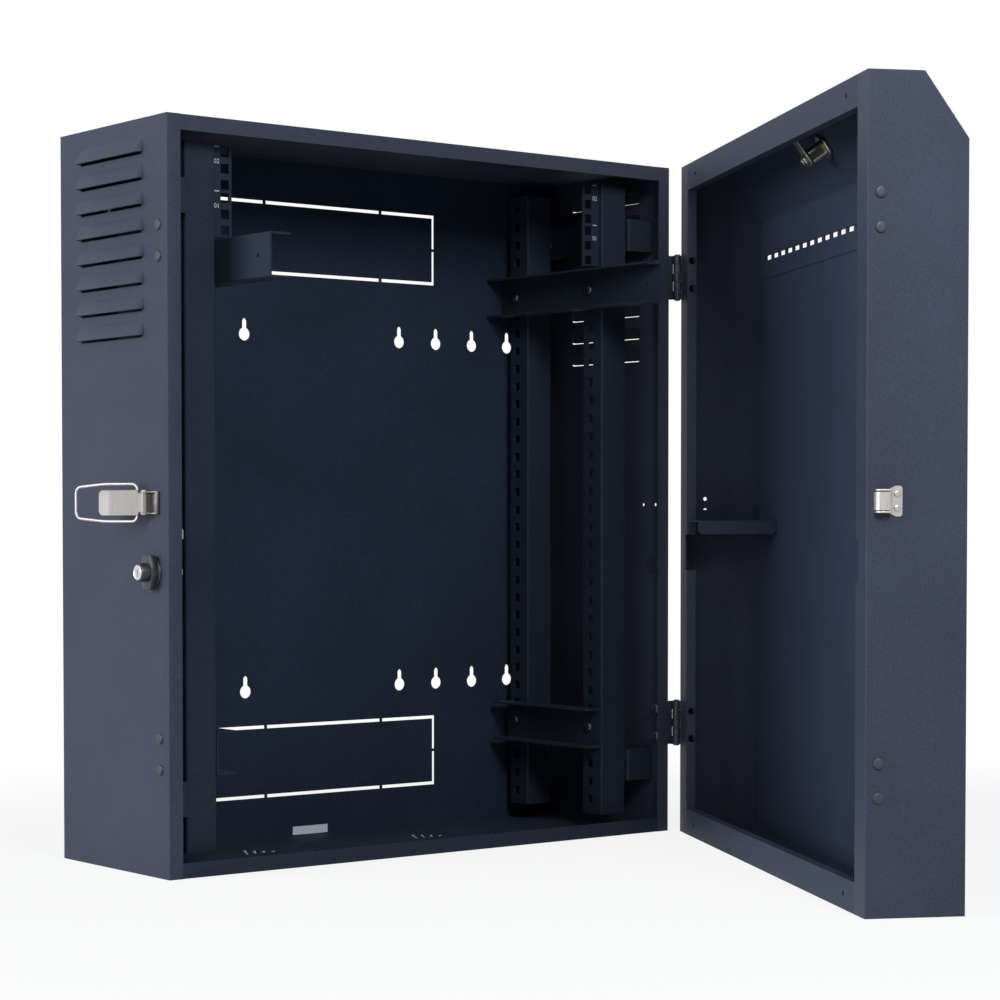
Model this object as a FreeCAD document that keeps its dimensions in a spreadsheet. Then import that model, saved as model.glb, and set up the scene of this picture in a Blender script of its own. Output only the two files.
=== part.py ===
"""Wall mount network cabinet: a shallow welded case with a deep swing door.

X runs to the right, Y back to the wall and Z up, in millimetres. The origin is the
middle of the rear face, so the case lies in front of it at negative Y. The door is
drawn closed and swung open about its hinge pins as the last step.
"""
import FreeCAD, Part
import math
import os
import re
import Sketcher

App = FreeCAD
doc = App.newDocument("WallCabinet")

# ---------------------------------------------------------------- driving sizes
SIZES = [
    ("width", 638.5, "case and door, outside"),
    ("height", 730.0, "case and door, outside"),
    ("depth", 207.0, "case, front face to wall"),
    ("sheet", 1.5, "case and door sheet"),
    ("case_flange", 15.0, "front flange of the case"),
    ("edge_fold", 0.8, "flat along the folded edges of the case and door"),
    ("door_gap", 3.0, "closed door to case"),
    ("door_depth", 91.3, "door tray"),
    ("door_flange", 28.0, "rear flange of the door"),
    ("door_lip", 10.0, "turned-in lip of the door flange"),
    ("chamfer_depth", 40.2, "sloped top edge of the door, front to back"),
    ("chamfer_height", 57.0, "sloped top edge of the door, up"),
    ("door_open", 62.2, "opening angle at rest, degrees"),
    ("louvre_length", 124.0, "pressed louvres in the side walls"),
    ("louvre_height", 13.0, "louvre, bottom lip to top"),
    ("louvre_rise", 5.0, "louvre, out from the wall"),
    ("louvre_skin", 1.2, "louvre metal"),
    ("louvre_taper", 11.0, "louvre ends, from lip to top"),
    ("louvre_pitch", 25.1, "louvre to louvre"),
    ("louvre_low", 157.0, "bottom lip of the lowest louvre"),
    ("louvre_front", 44.5, "case front to the louvres"),
    ("louvre_count", 8, "louvres on each side"),
    ("fan_spacing", 216.0, "between the two fan vents"),
    ("fan_hub", 20.5, "solid middle of a fan vent, radius"),
    ("fan_slot", 5.2, "width of a fan vent's slots"),
    ("fan_pitch", 10.0, "ring to ring"),
    ("fan_spoke", 7.0, "metal left between two slots of a ring"),
    ("fan_rings", 4, "rings of a fan vent"),
    ("key_pitch", 50.8, "keyhole to keyhole, and first keyhole from the middle is two of it"),
    ("key_rows", 381.0, "lower to upper keyhole row"),
    ("key_middle", -14.0, "middle of the two rows, at the entry holes"),
    ("key_entry", 7.0, "entry hole radius"),
    ("key_neck", 2.9, "keyhole slot, half width"),
    ("key_seat", 14.0, "entry hole to seat"),
    ("panel_width", 300.0, "cable knockout, over the slit"),
    ("panel_height", 78.0, "cable knockout, over the slit"),
    ("panel_middle", 280.5, "cable knockout, from mid-height"),
    ("panel_slit", 3.5, "slit round a knockout"),
    ("panel_tab", 3.0, "tabs that hold a knockout"),
    ("panel_tab_place", 76.0, "tabs from the middle"),
    ("bar_sheet", 2.0, "side bar metal"),
    ("bar_height", 34.4, "side bar"),
    ("bar_place", 291.8, "side bar middle from mid-height"),
    ("bar_front", 25.0, "case front to side bar"),
    ("bar_rear", 7.0, "side bar to rear face"),
    ("bar_tab", 14.0, "weld tabs of a side bar"),
    ("bar_slot", 34.0, "adjusting slot of a side bar, length"),
    ("rail_sheet", 2.0, "rail metal"),
    ("rail_inner", 247.5, "inner face of the rails from the middle"),
    ("rail_outer", 281.7, "outer face of the rails from the middle"),
    ("rail_side", 31.0, "depth of a rail's side flange"),
    ("rail_return", 20.0, "depth of a rail's outer return"),
    ("rail_length", 690.0, "rails"),
    ("rail_front", 30.0, "case front to front rails"),
    ("rail_step", 129.0, "front rails to rear rails"),
    ("rail_bolt", 11.0, "rail front to its bolts"),
    ("square", 9.0, "square holes of a rail"),
    ("square_back", 19.5, "rail front to its square holes"),
    ("square_first", 15.5, "rail end to first square hole"),
    ("square_pitch", 20.0, "square hole to square hole"),
    ("bend", 1.2, "flat along the outside of the bends of rails, bars and channels"),
    ("unit", 44.45, "one rack unit"),
    ("unit_spacing", 465.1, "between the two columns of rack holes"),
    ("strip_inner", 224.7, "inner edge of a unit strip from the middle"),
    ("strip_front", 35.7, "case front to unit strip"),
    ("strip_leg", 22.0, "leg of a unit strip"),
    ("strip_top", 344.7, "top of the unit strips"),
    ("strip_hole", 9.5, "square holes of a unit strip"),
    ("channel_height", 43.0, "equipment channels"),
    ("channel_tip", 224.0, "inner edge of a channel's flanges from the middle"),
    ("channel_reach", 67.5, "upper channels past the case front"),
    ("channel_rear", 3.5, "upper channels to rear face"),
    ("channel_short", 163.0, "length of a lower channel"),
    ("channel_start", 30.0, "case front to a lower channel"),
    ("channel_hole", 3.5, "flange holes, radius"),
    ("channel_pairs", 42.5, "case front to a middle of a hole pair"),
    ("channel_pair", 12.7, "hole pair, hole to hole"),
    ("tapped_hole", 2.0, "small holes of the upper channels, radius"),
    ("screw", 3.0, "screw shank radius"),
    ("screw_fit", 0.3, "clearance of a screw in its hole, radius"),
    ("screw_head", 5.8, "pan head radius"),
    ("screw_head_height", 3.4, "pan head"),
    ("nut_flats", 10.0, "nut, across flats"),
    ("nut_height", 4.8, "nut"),
    ("hinge_out", 10.5, "hinge axis out from the side wall"),
    ("hinge_place", 245.5, "hinge middle from mid-height"),
    ("hinge_height", 48.0, "hinge"),
    ("hinge_sheet", 2.0, "hinge leaf metal"),
    ("hinge_barrel", 4.5, "knuckle radius"),
    ("hinge_pin", 2.25, "hinge pin radius"),
    ("hinge_fit", 0.05, "running clearance of a pin, radius"),
    ("hinge_knuckles", 5, "knuckles of a hinge"),
    ("hinge_space", 0.3, "knuckle to knuckle"),
    ("hinge_bolts", 30.0, "hinge screw to hinge screw"),
    ("hinge_hole_case", 16.5, "case front to hinge screws"),
    ("hinge_hole_door", 12.0, "door rear to hinge screws"),
    ("screw_length", 14.0, "screw shank"),
    ("hinge_leaf_case", 27.0, "axis to the edge of the case leaf"),
    ("hinge_leaf_door", 21.5, "axis to the edge of the door leaf"),
    ("plug_head", 5.2, "hole plug radius"),
    ("plug_height", 1.2, "hole plug"),
    ("plug_length", 3.0, "hole plug stem"),
    ("plug_fit", 0.05, "plug stem in its hole, radius"),
    ("latch_place", -4.3, "latch middle from mid-height"),
    ("latch_front", 16.0, "case front to latch bracket"),
    ("latch_length", 30.0, "latch bracket"),
    ("latch_width", 22.0, "latch bracket"),
    ("latch_sheet", 1.5, "latch bracket metal"),
    ("latch_pin_back", 30.6, "case front to latch pin"),
    ("latch_pin_out", 8.3, "latch pin out from the wall"),
    ("latch_pin", 2.0, "latch pin radius"),
    ("latch_fit", 0.05, "running clearance of the latch pin, radius"),
    ("lever_length", 60.0, "latch lever from its pin"),
    ("lever_width", 24.3, "latch lever"),
    ("lever_sheet", 1.2, "latch lever metal"),
    ("lever_rest", 10.0, "lever off the wall at rest, degrees"),
    ("bail_pivot", 10.0, "latch pin to bail pivot"),
    ("bail_wire", 1.4, "bail wire radius"),
    ("bail_fit", 0.1, "clearance of the bail in the lever, radius"),
    ("bail_length", 67.0, "bail, pivot to far wire"),
    ("bail_near", 18.0, "bail half width at its pivot"),
    ("bail_far", 14.8, "bail half width at its far end"),
    ("bail_knee", 36.0, "pivot to where the bail starts to narrow"),
    ("bail_corner", 5.5, "bail corner radius"),
    ("bail_rest", 31.0, "bail off the wall at rest, degrees"),
    ("keeper_hook", 6.4, "door rear to keeper hook"),
    ("keeper_length", 25.6, "keeper"),
    ("keeper_rise", 8.0, "keeper hook out from the wall"),
    ("keeper_width", 26.4, "keeper plate"),
    ("keeper_neck", 20.6, "keeper hook"),
    ("keeper_sheet", 1.2, "keeper metal"),
    ("rivet", 2.0, "rivet radius"),
    ("rivet_head", 3.2, "rivet head radius"),
    ("rivet_rise", 1.2, "rivet head"),
    ("rivet_length", 3.0, "rivet stem"),
    ("rivet_spacing", 12.4, "keeper rivet to rivet"),
    ("rivet_back", 27.6, "door rear to keeper rivets"),
    ("lock_back", 26.0, "case front to side lock"),
    ("lock_place", -71.0, "side lock from mid-height"),
    ("lock_barrel", 9.0, "side lock barrel radius"),
    ("lock_fit", 0.2, "lock barrel in its hole, radius"),
    ("lock_shaft", 6.0, "side knob shaft radius"),
    ("lock_flange", 13.0, "side lock flange radius"),
    ("lock_reach", 22.0, "side lock barrel from the wall's outside inwards"),
    ("knob_out", 18.0, "side knob out from the wall"),
    ("knob_wing", 16.5, "side knob wing tip from its axis"),
    ("knob_gap", 0.3, "side knob to its flange"),
    ("cam_sheet", 2.5, "side cam metal"),
    ("cam_reach", 42.0, "side cam from its axis"),
    ("cam_width", 8.0, "side cam arm"),
    ("cam_nose", 7.0, "hook of the side cam"),
    ("notch_depth", 7.5, "notch in the door flange for the side cam"),
    ("notch_height", 38.5, "notch in the door flange for the side cam"),
    ("key_plug", 5.5, "key plug radius"),
    ("key_face", 7.2, "key plug face radius"),
    ("top_lock_down", 23.4, "top edge of the slope to the top lock"),
    ("top_barrel", 8.5, "top lock barrel radius"),
    ("top_flange", 11.0, "top lock flange radius"),
    ("top_reach", 22.0, "top lock barrel inwards"),
    ("top_plug", 5.0, "top lock plug radius"),
    ("top_cam_length", 30.0, "top cam from its axis"),
    ("top_cam_width", 13.0, "top cam"),
    ("vent_place", 265.0, "door vent row above mid-height"),
    ("vent_pitch", 25.9, "door vent to vent"),
    ("vent_length", 17.5, "door vent slot"),
    ("vent_height", 5.0, "door vent slot"),
    ("vent_side", 11, "door vents each side of the middle one"),
    ("cover_height", 45.0, "vent backing strip"),
    ("cover_margin", 4.0, "vent backing strip past the end vents"),
    ("cover_sheet", 1.2, "vent backing strip metal"),
    ("gusset_edge", 250.0, "door gusset, inner edge from the middle"),
    ("gusset_top", -22.0, "door gusset above mid-height"),
    ("gusset_lip", 14.5, "turned-down lip of the door gusset"),
]
sizes = doc.addObject("Spreadsheet::Sheet", "Sizes")
for row, (alias, number, meaning) in enumerate(SIZES, start=1):
    sizes.set(f"A{row}", meaning)
    sizes.set(f"B{row}", str(number))
    sizes.setAlias(f"B{row}", alias)
doc.recompute()

ALIASES = re.compile(r"\b(" + "|".join(alias for alias, _, _ in SIZES) + r")\b")

# places that follow from the sizes, as expressions
SIDE = "(width / 2)"
WALL = "(width / 2 - sheet)"
TOP = "(height / 2)"
FRONT = "(-depth)"
DOOR_REAR = "(-depth - door_gap)"
DOOR_FRONT = "(-depth - door_gap - door_depth)"
HINGE_X = "(width / 2 + hinge_out)"
HINGE_Y = "(-depth - door_gap / 2)"
SLOPE = "sqrt(chamfer_depth ^ 2 + chamfer_height ^ 2)"
HINGE_LEVELS = {"upper": "hinge_place", "lower": "(-hinge_place)"}
LEVELS = {"upper": 1, "lower": -1}
HANDS = {"left": -1, "right": 1}

AXES = {"XY": (0, 1, 2), "XZ": (0, 2, 1), "YZ": (1, 2, 0)}
nodes = []


# ---------------------------------------------------------------- modelling steps
def bound(expression):
    """The expression with each size name pointing at its cell."""
    return ALIASES.sub(r"Sizes.\1", expression)


def value(expression):
    return float(sizes.evalExpression(expression))


def new_body(label, kept=True):
    body = doc.addObject("PartDesign::Body", label)
    body.Label = label
    if kept:
        nodes.append(body)
    return body


def sketch(body, plane, level, loops):
    """Closed loops on one of the body's planes, at a level along the plane's axis.

    A loop is a list of corners, or a tuple (u, v, radius) for a circle. Every corner,
    centre and radius is tied to the sheet.
    """
    drawing = body.newObject("Sketcher::SketchObject", "Sketch")
    role = plane + "_Plane"
    support = next(part for part in body.Origin.OriginFeatures if part.Role == role)
    drawing.AttachmentSupport = [(support, "")]
    drawing.MapMode = "FlatFace"
    sign = "-" if plane == "XZ" else ""
    drawing.setExpression("AttachmentOffset.Base.z", bound(f"{sign}({level})"))
    for loop in loops:
        first = drawing.GeometryCount
        ties = []
        joints = []
        if isinstance(loop, tuple):
            u, v, radius = loop
            centre = App.Vector(value(u), value(v), 0)
            circle = Part.Circle(centre, App.Vector(0, 0, 1), value(radius))
            drawing.addGeometry(circle, False)
            ties.append(("DistanceX", (-1, 1, first, 3), u))
            ties.append(("DistanceY", (-1, 1, first, 3), v))
            ties.append(("Radius", (first,), radius))
        else:
            corners = [App.Vector(value(u), value(v), 0) for u, v in loop]
            count = len(corners)
            for index in range(count):
                line = Part.LineSegment(corners[index], corners[(index + 1) % count])
                drawing.addGeometry(line, False)
                follower = first + (index + 1) % count
                joints.append(Sketcher.Constraint("Coincident", first + index, 2, follower, 1))
            for index, (u, v) in enumerate(loop):
                ties.append(("DistanceX", (-1, 1, first + index, 1), u))
                ties.append(("DistanceY", (-1, 1, first + index, 1), v))
        if joints:
            drawing.addConstraint(joints)
        for kind, places, expression in ties:
            tie = drawing.addConstraint(Sketcher.Constraint(kind, *places, value(expression)))
            drawing.setExpression(f"Constraints[{tie}]", bound(expression))
    return drawing


def add(body, plane, low, high, *loops):
    """A pad of the loops between two levels along the plane's axis."""
    start = high if plane == "XZ" else low
    pad = body.newObject("PartDesign::Pad", "Pad")
    pad.Profile = sketch(body, plane, start, loops)
    pad.setExpression("Length", bound(f"({high}) - ({low})"))
    return pad


def cut(body, plane, low, high, *loops):
    """A pocket of the loops between two levels along the plane's axis."""
    start = low if plane == "XZ" else high
    pocket = body.newObject("PartDesign::Pocket", "Pocket")
    pocket.Profile = sketch(body, plane, start, loops)
    pocket.setExpression("Length", bound(f"({high}) - ({low})"))
    return pocket


def repeat(body, features, axis, step, count):
    """A row of the features along one of the body's axes."""
    row = body.newObject("PartDesign::LinearPattern", "Row")
    row.Originals = features
    role = axis + "_Axis"
    row.Direction = (next(part for part in body.Origin.OriginFeatures if part.Role == role), [""])
    row.setExpression("Occurrences", bound(count))
    row.setExpression("Length", bound(f"({step}) * (({count}) - 1)"))
    body.Tip = row
    return row


def crease(body, plane, size, *spots):
    """A flat along each edge that runs along the plane's axis through the given spots."""
    doc.recompute()
    base = body.Tip
    across, up, _ = AXES[plane]
    wanted = [(value(u), value(v)) for u, v in spots]
    names = []
    for number, edge in enumerate(base.Shape.Edges, start=1):
        ends = [vertex.Point for vertex in edge.Vertexes]
        for u, v in wanted:
            if len(ends) == 2 and all(math.hypot(end[across] - u, end[up] - v) < 1e-4 for end in ends):
                names.append(f"Edge{number}")
    fold = body.newObject("PartDesign::Chamfer", "Fold")
    fold.Base = (base, names)
    fold.setExpression("Size", bound(size))
    return fold


def box(u1, v1, u2, v2):
    """A rectangle between two opposite corners."""
    return [(u1, v1), (u2, v1), (u2, v2), (u1, v2)]


def square(u, v, side):
    half = f"({side}) / 2"
    return box(f"{u} - {half}", f"{v} - {half}", f"{u} + {half}", f"{v} + {half}")


def boss(u, v, radius, sides):
    """An even-sided outline whose corners lie on the circle, for small shafts and heads."""
    angles = [f"{360 * (step + 0.5) / sides:g} deg" for step in range(sides)]
    return [(f"{u} + ({radius}) * cos({angle})", f"{v} + ({radius}) * sin({angle})") for angle in angles]


def hole(u, v, radius, sides):
    """An even-sided outline whose flats touch the circle, for small holes."""
    return boss(u, v, f"({radius}) / cos({180 / sides:g} deg)", sides)


def hexagon(u, v, flats):
    """A hexagon of the given size across flats."""
    return hole(u, v, f"({flats}) / 2", 6)


def mirrored(loop, hand):
    """The loop with its first coordinate on the left or right hand."""
    if isinstance(loop, tuple):
        return (f"{hand} * ({loop[0]})", loop[1], loop[2])
    return [(f"{hand} * ({u})", v) for u, v in loop]


def span(hand, near, far):
    """Levels along X between two distances from the middle, in rising order."""
    return (near, far) if hand > 0 else (f"-({far})", f"-({near})")


def copies(label, master, places):
    """One node that holds a copy of the master's solid at each placement."""
    doc.recompute()
    group = doc.addObject("Part::Feature", label)
    group.Label = label
    solids = []
    for place in places:
        solid = master.Shape.copy()
        solid.Placement = place.multiply(solid.Placement)
        solids.append(solid)
    group.Shape = Part.Compound(solids)
    nodes.append(group)
    return group


def facing(x, y, z, direction):
    """A placement at a point, with its Z axis turned to the direction."""
    point = App.Vector(value(x), value(y), value(z))
    return App.Placement(point, App.Rotation(App.Vector(0, 0, 1), App.Vector(*direction)))


def swing(node):
    """Turn a door piece from closed to its place at rest, about the hinge axis."""
    angle = "door_open * 1 deg"
    node.Placement = App.Placement(App.Vector(0, 0, 0), App.Rotation(App.Vector(0, 0, 1), 1))
    along = f"{HINGE_X} - ({HINGE_X} * cos({angle}) - {HINGE_Y} * sin({angle}))"
    back = f"{HINGE_Y} - ({HINGE_X} * sin({angle}) + {HINGE_Y} * cos({angle}))"
    node.setExpression("Placement.Base.x", bound(along))
    node.setExpression("Placement.Base.y", bound(back))
    node.setExpression("Placement.Rotation.Angle", bound("door_open"))


# ---------------------------------------------------------------- case shell
def louvres(body, hand):
    """Pressed hoods with their opening at the lower lip, in a column."""
    out = App.Vector(hand, 0, 0)
    along = App.Vector(0, hand, 0)
    turned = App.Rotation(along, App.Vector(0, 0, 1), out, "XYZ")
    hood = body.newObject("PartDesign::AdditiveWedge", "Hood")
    mouth = body.newObject("PartDesign::SubtractiveWedge", "Mouth")
    shapes = (
        (hood, "0", "0", "louvre_rise", "0.2", "0", "louvre_height"),
        (mouth, "louvre_skin", "-(sheet + 0.5)", "louvre_rise - louvre_skin",
         "0.2 - louvre_skin", "-0.5", "louvre_height - 0.5"),
    )
    for wedge, inset, inner, outer_low, outer_high, low, high in shapes:
        wedge.setExpression("Xmin", bound(f"-(louvre_length / 2 - ({inset}))"))
        wedge.setExpression("Xmax", bound(f"louvre_length / 2 - ({inset})"))
        wedge.setExpression("X2min", bound(f"-(louvre_length / 2 - ({inset}) - louvre_taper)"))
        wedge.setExpression("X2max", bound(f"louvre_length / 2 - ({inset}) - louvre_taper"))
        wedge.setExpression("Ymin", bound(low))
        wedge.setExpression("Ymax", bound(high))
        wedge.setExpression("Zmin", bound(inner))
        wedge.setExpression("Z2min", bound(inner))
        wedge.setExpression("Zmax", bound(outer_low))
        wedge.setExpression("Z2max", bound(outer_high))
        wedge.Placement = App.Placement(App.Vector(0, 0, 0), turned)
        wedge.setExpression("Placement.Base.x", bound(f"{hand} * {SIDE}"))
        wedge.setExpression("Placement.Base.y", bound(f"{FRONT} + louvre_front + louvre_length / 2"))
        wedge.setExpression("Placement.Base.z", bound("louvre_low"))
    repeat(body, [hood, mouth], "Z", "louvre_pitch", "louvre_count")


for name, hand in HANDS.items():
    side = new_body(f"side_panel_{name}")
    fold = [(SIDE, "0"), (SIDE, FRONT), (f"{SIDE} - case_flange", FRONT),
            (f"{SIDE} - case_flange", f"{FRONT} + sheet"), (WALL, f"{FRONT} + sheet"), (WALL, "0")]
    add(side, "XY", f"-{TOP}", TOP, mirrored(fold, hand))
    crease(side, "XY", "edge_fold", (f"{hand} * {SIDE}", FRONT))
    louvres(side, hand)
    wall = span(hand, f"{WALL} - 1", f"{SIDE} + 1")
    for level in LEVELS.values():
        for end in (-1, 1):
            place = f"{level} * hinge_place + {end} * hinge_bolts / 2"
            cut(side, "YZ", *wall, hole(f"{FRONT} + hinge_hole_case", place, "screw + screw_fit", 8))
    cut(side, "YZ", *wall, hole(f"{FRONT} + lock_back", "lock_place", "lock_barrel + lock_fit", 12))
    for end in (-1, 1):
        along = f"{FRONT} + latch_front + latch_length / 2 + {end} * latch_length / 3"
        cut(side, "YZ", *wall, hole(along, "latch_place", "rivet", 8))

for name, level in (("top_panel", 1), ("floor_panel", -1)):
    panel = new_body(name)
    plate = span(level, f"{TOP} - sheet", TOP)
    add(panel, "XY", *plate, box(f"-{WALL}", f"{FRONT} + sheet", WALL, "0"))
    edge = f"{SIDE} - case_flange"
    add(panel, "XZ", FRONT, f"{FRONT} + sheet",
        box(f"-({edge})", f"{level} * ({TOP} - case_flange)", edge, f"{level} * {TOP}"))
    crease(panel, "YZ", "edge_fold", (FRONT, f"{level} * {TOP}"))

# two fan vents are punched in the floor: rings of curved slots round a solid hub
floor_panel = nodes[-1]
for hand in (-1, 1):
    slots = []
    for place in range(int(value("fan_rings"))):
        inner = f"(fan_hub + {place} * fan_pitch)"
        lead = f"(fan_spoke / 2 / {inner} * 180 / pi)"
        angles = [f"({lead} + {step} * (45 - {lead})) * 1 deg" for step in range(3)]
        rims = [(inner, angle) for angle in angles] + [(f"({inner} + fan_slot)", angle) for angle in angles[::-1]]
        slots.append([(f"{radius} * cos({angle})", f"{radius} * sin({angle})") for radius, angle in rims])
    quarter = cut(floor_panel, "XY", f"-{TOP} - 1", f"-{TOP} + sheet + 1", *slots)
    drawing = quarter.Profile[0]
    drawing.setExpression("AttachmentOffset.Base.x", bound(f"{hand} * fan_spacing / 2"))
    drawing.setExpression("AttachmentOffset.Base.y", bound(f"{FRONT} / 2"))
    vent = floor_panel.newObject("PartDesign::PolarPattern", "FanVent")
    vent.Originals = [quarter]
    vent.Axis = (drawing, ["N_Axis"])
    vent.Angle = 360
    vent.Occurrences = 4
    floor_panel.Tip = vent

back = new_body("back_panel")
add(back, "XZ", "-sheet", "0", box(f"-{WALL}", f"-({TOP} - sheet)", WALL, f"{TOP} - sheet"))
entries, necks = [], []
for hand in (-1, 1):
    for place in range(2, 6):
        for row in (-1, 1):
            x = f"{hand * place} * key_pitch"
            z = f"key_middle + {row} * key_rows / 2"
            entries.append((x, z, "key_entry"))
            necks.append([(f"{x} - key_neck", z), (f"{x} + key_neck", z), (f"{x} + key_neck", f"{z} + key_seat"),
                          (f"{x} + key_neck / 2", f"{z} + key_seat + key_neck * 0.87"),
                          (f"{x} - key_neck / 2", f"{z} + key_seat + key_neck * 0.87"),
                          (f"{x} - key_neck", f"{z} + key_seat")])
for shape in (entries, necks):
    cut(back, "XZ", "-sheet - 1", "1", *shape)
for level in LEVELS.values():
    slits = []
    low = f"{level} * panel_middle - panel_height / 2"
    high = f"{level} * panel_middle + panel_height / 2"
    tab_in = "(panel_tab_place - panel_tab / 2)"
    tab_out = "(panel_tab_place + panel_tab / 2)"
    for edge, inward in ((low, 1), (high, -1)):
        inner = f"{edge} + {inward} * panel_slit"
        slits.append(box(f"-{tab_in}", edge, tab_in, inner))
        for hand in (-1, 1):
            stop = f"{level} * panel_middle - {inward} * panel_tab / 2"
            outside = f"{hand} * panel_width / 2"
            inside = f"{hand} * (panel_width / 2 - panel_slit)"
            slits.append([(f"{hand} * {tab_out}", edge), (outside, edge), (outside, stop),
                          (inside, stop), (inside, inner), (f"{hand} * {tab_out}", inner)])
    cut(back, "XZ", "-sheet - 1", "1", *slits)

# ---------------------------------------------------------------- side bars, rails, strips
RAIL_ROWS = {"front": f"({FRONT} + rail_front)", "rear": f"({FRONT} + rail_front + rail_step)"}

for level_name, level in LEVELS.items():
    for name, hand in HANDS.items():
        bar = new_body(f"side_bar_{level_name}_{name}")
        near = f"({FRONT} + bar_front)"
        far = "(-bar_rear)"
        skin = f"({WALL} - bar_sheet)"
        face = "(rail_outer + bar_sheet)"
        bridge = [(WALL, near), ("rail_outer", near), ("rail_outer", far), (WALL, far),
                  (WALL, f"{far} - bar_tab"), (skin, f"{far} - bar_tab"), (skin, f"{far} - bar_sheet"),
                  (face, f"{far} - bar_sheet"), (face, f"{near} + bar_sheet"),
                  (skin, f"{near} + bar_sheet"), (skin, f"{near} + bar_tab"), (WALL, f"{near} + bar_tab")]
        middle = f"{level} * bar_place"
        add(bar, "XY", f"{middle} - bar_height / 2", f"{middle} + bar_height / 2", mirrored(bridge, hand))
        crease(bar, "XY", "bend", (f"{hand} * rail_outer", near), (f"{hand} * rail_outer", far))
        windows = [box(f"{row} + rail_bolt - bar_slot / 2 + 6", f"{middle} - screw - screw_fit",
                       f"{row} + rail_bolt + bar_slot / 2 + 6", f"{middle} + screw + screw_fit")
                   for row in RAIL_ROWS.values()]
        cut(bar, "YZ", *span(hand, "rail_outer - 1", "rail_outer + bar_sheet + 1"), *windows)

for row_name, row in RAIL_ROWS.items():
    for name, hand in HANDS.items():
        rail = new_body(f"rail_{row_name}_{name}")
        behind = f"{row} + rail_sheet"
        inner = "(rail_inner + rail_sheet)"
        outer = "(rail_outer - rail_sheet)"
        section = [("rail_inner", row), ("rail_outer", row), ("rail_outer", f"{row} + rail_return"),
                   (outer, f"{row} + rail_return"), (outer, behind), (inner, behind),
                   (inner, f"{row} + rail_side"), ("rail_inner", f"{row} + rail_side")]
        add(rail, "XY", "-rail_length / 2", "rail_length / 2", mirrored(section, hand))
        crease(rail, "XY", "bend", (f"{hand} * rail_inner", row), (f"{hand} * rail_outer", row))
        bolts = [hole(f"{row} + rail_bolt", f"{level} * bar_place", "screw + screw_fit", 6) for level in (-1, 1)]
        cut(rail, "YZ", *span(hand, f"{outer} - 1", "rail_outer + 1"), *bolts)
        first = cut(rail, "YZ", *span(hand, "rail_inner - 1", f"{inner} + 1"),
                    square(f"{row} + square_back", "-rail_length / 2 + square_first", "square"))
        repeat(rail, [first], "Z", "square_pitch",
               "floor((rail_length - 1.8 * square_first) / square_pitch) + 1")

UNIT_HOLES = ("unit / 7", "unit / 2", "unit * 6 / 7")
for name, hand in HANDS.items():
    strip = new_body(f"unit_strip_{name}")
    near = f"({FRONT} + strip_front)"
    angle = [("strip_inner", near), ("rail_inner", near), ("rail_inner", f"{near} + strip_leg"),
             ("rail_inner - rail_sheet", f"{near} + strip_leg"), ("rail_inner - rail_sheet", f"{near} + rail_sheet"),
             ("strip_inner", f"{near} + rail_sheet")]
    add(strip, "XY", "strip_top - 2 * unit", "strip_top", mirrored(angle, hand))
    openings = [square(f"{hand} * unit_spacing / 2", f"strip_top - {unit} * unit - {place}", "strip_hole")
                for unit in (0, 1) for place in UNIT_HOLES]
    cut(strip, "XZ", f"{near} - 1", f"{near} + rail_sheet + 1", *openings)

# ---------------------------------------------------------------- equipment channels
CHANNEL_LEVELS = {
    "upper": "(-rail_length / 2 + square_first + 28 * square_pitch)",
    "lower": "(-rail_length / 2 + square_first + 4 * square_pitch)",
}
CHANNEL_ENDS = {
    "upper": (f"({FRONT} - channel_reach)", "(-channel_rear)"),
    "lower": (f"({FRONT} + channel_start)", f"({FRONT} + channel_start + channel_short)"),
}
FIRST_PAIR = {"upper": -2, "lower": 0}
WEB = "(rail_inner - rail_sheet)"
for level_name, middle in CHANNEL_LEVELS.items():
    near, far = CHANNEL_ENDS[level_name]
    for name, hand in HANDS.items():
        channel = new_body(f"channel_{level_name}_{name}")
        top, low = f"({middle} + channel_height / 2)", f"({middle} - channel_height / 2)"
        section = [("rail_inner", low), ("rail_inner", top), ("channel_tip", top),
                   ("channel_tip", f"{top} - rail_sheet"), (WEB, f"{top} - rail_sheet"),
                   (WEB, f"{low} + rail_sheet"), ("channel_tip", f"{low} + rail_sheet"), ("channel_tip", low)]
        add(channel, "XZ", near, far, mirrored(section, hand))
        crease(channel, "XZ", "bend", (f"{hand} * rail_inner", top), (f"{hand} * rail_inner", low))
        pair = f"({FRONT} + channel_pairs + {FIRST_PAIR[level_name]} * unit)"
        holes = [hole(f"{hand} * unit_spacing / 2", f"{pair} + {end} * channel_pair / 2", "channel_hole", 6)
                 for end in (-1, 1)]
        flange = span(-1 if level_name == "upper" else 1, "channel_height / 2 - rail_sheet - 1",
                      "channel_height / 2 + 1")
        first = cut(channel, "XY", *[f"{middle} + {edge}" for edge in flange], *holes)
        repeat(channel, [first], "Y", "unit", f"floor(({far} - {pair} - channel_pair) / unit) + 1")
        through = [hole(f"{row} + square_back", middle, "screw + screw_fit", 6) for row in RAIL_ROWS.values()]
        if level_name == "upper":
            through += [hole(f"{FRONT} + channel_pairs + {place} * unit", middle, "tapped_hole", 6)
                        for place in (-2, 1)]
        cut(channel, "YZ", *span(hand, f"{WEB} - 1", "rail_inner + 1"), *through)

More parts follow.
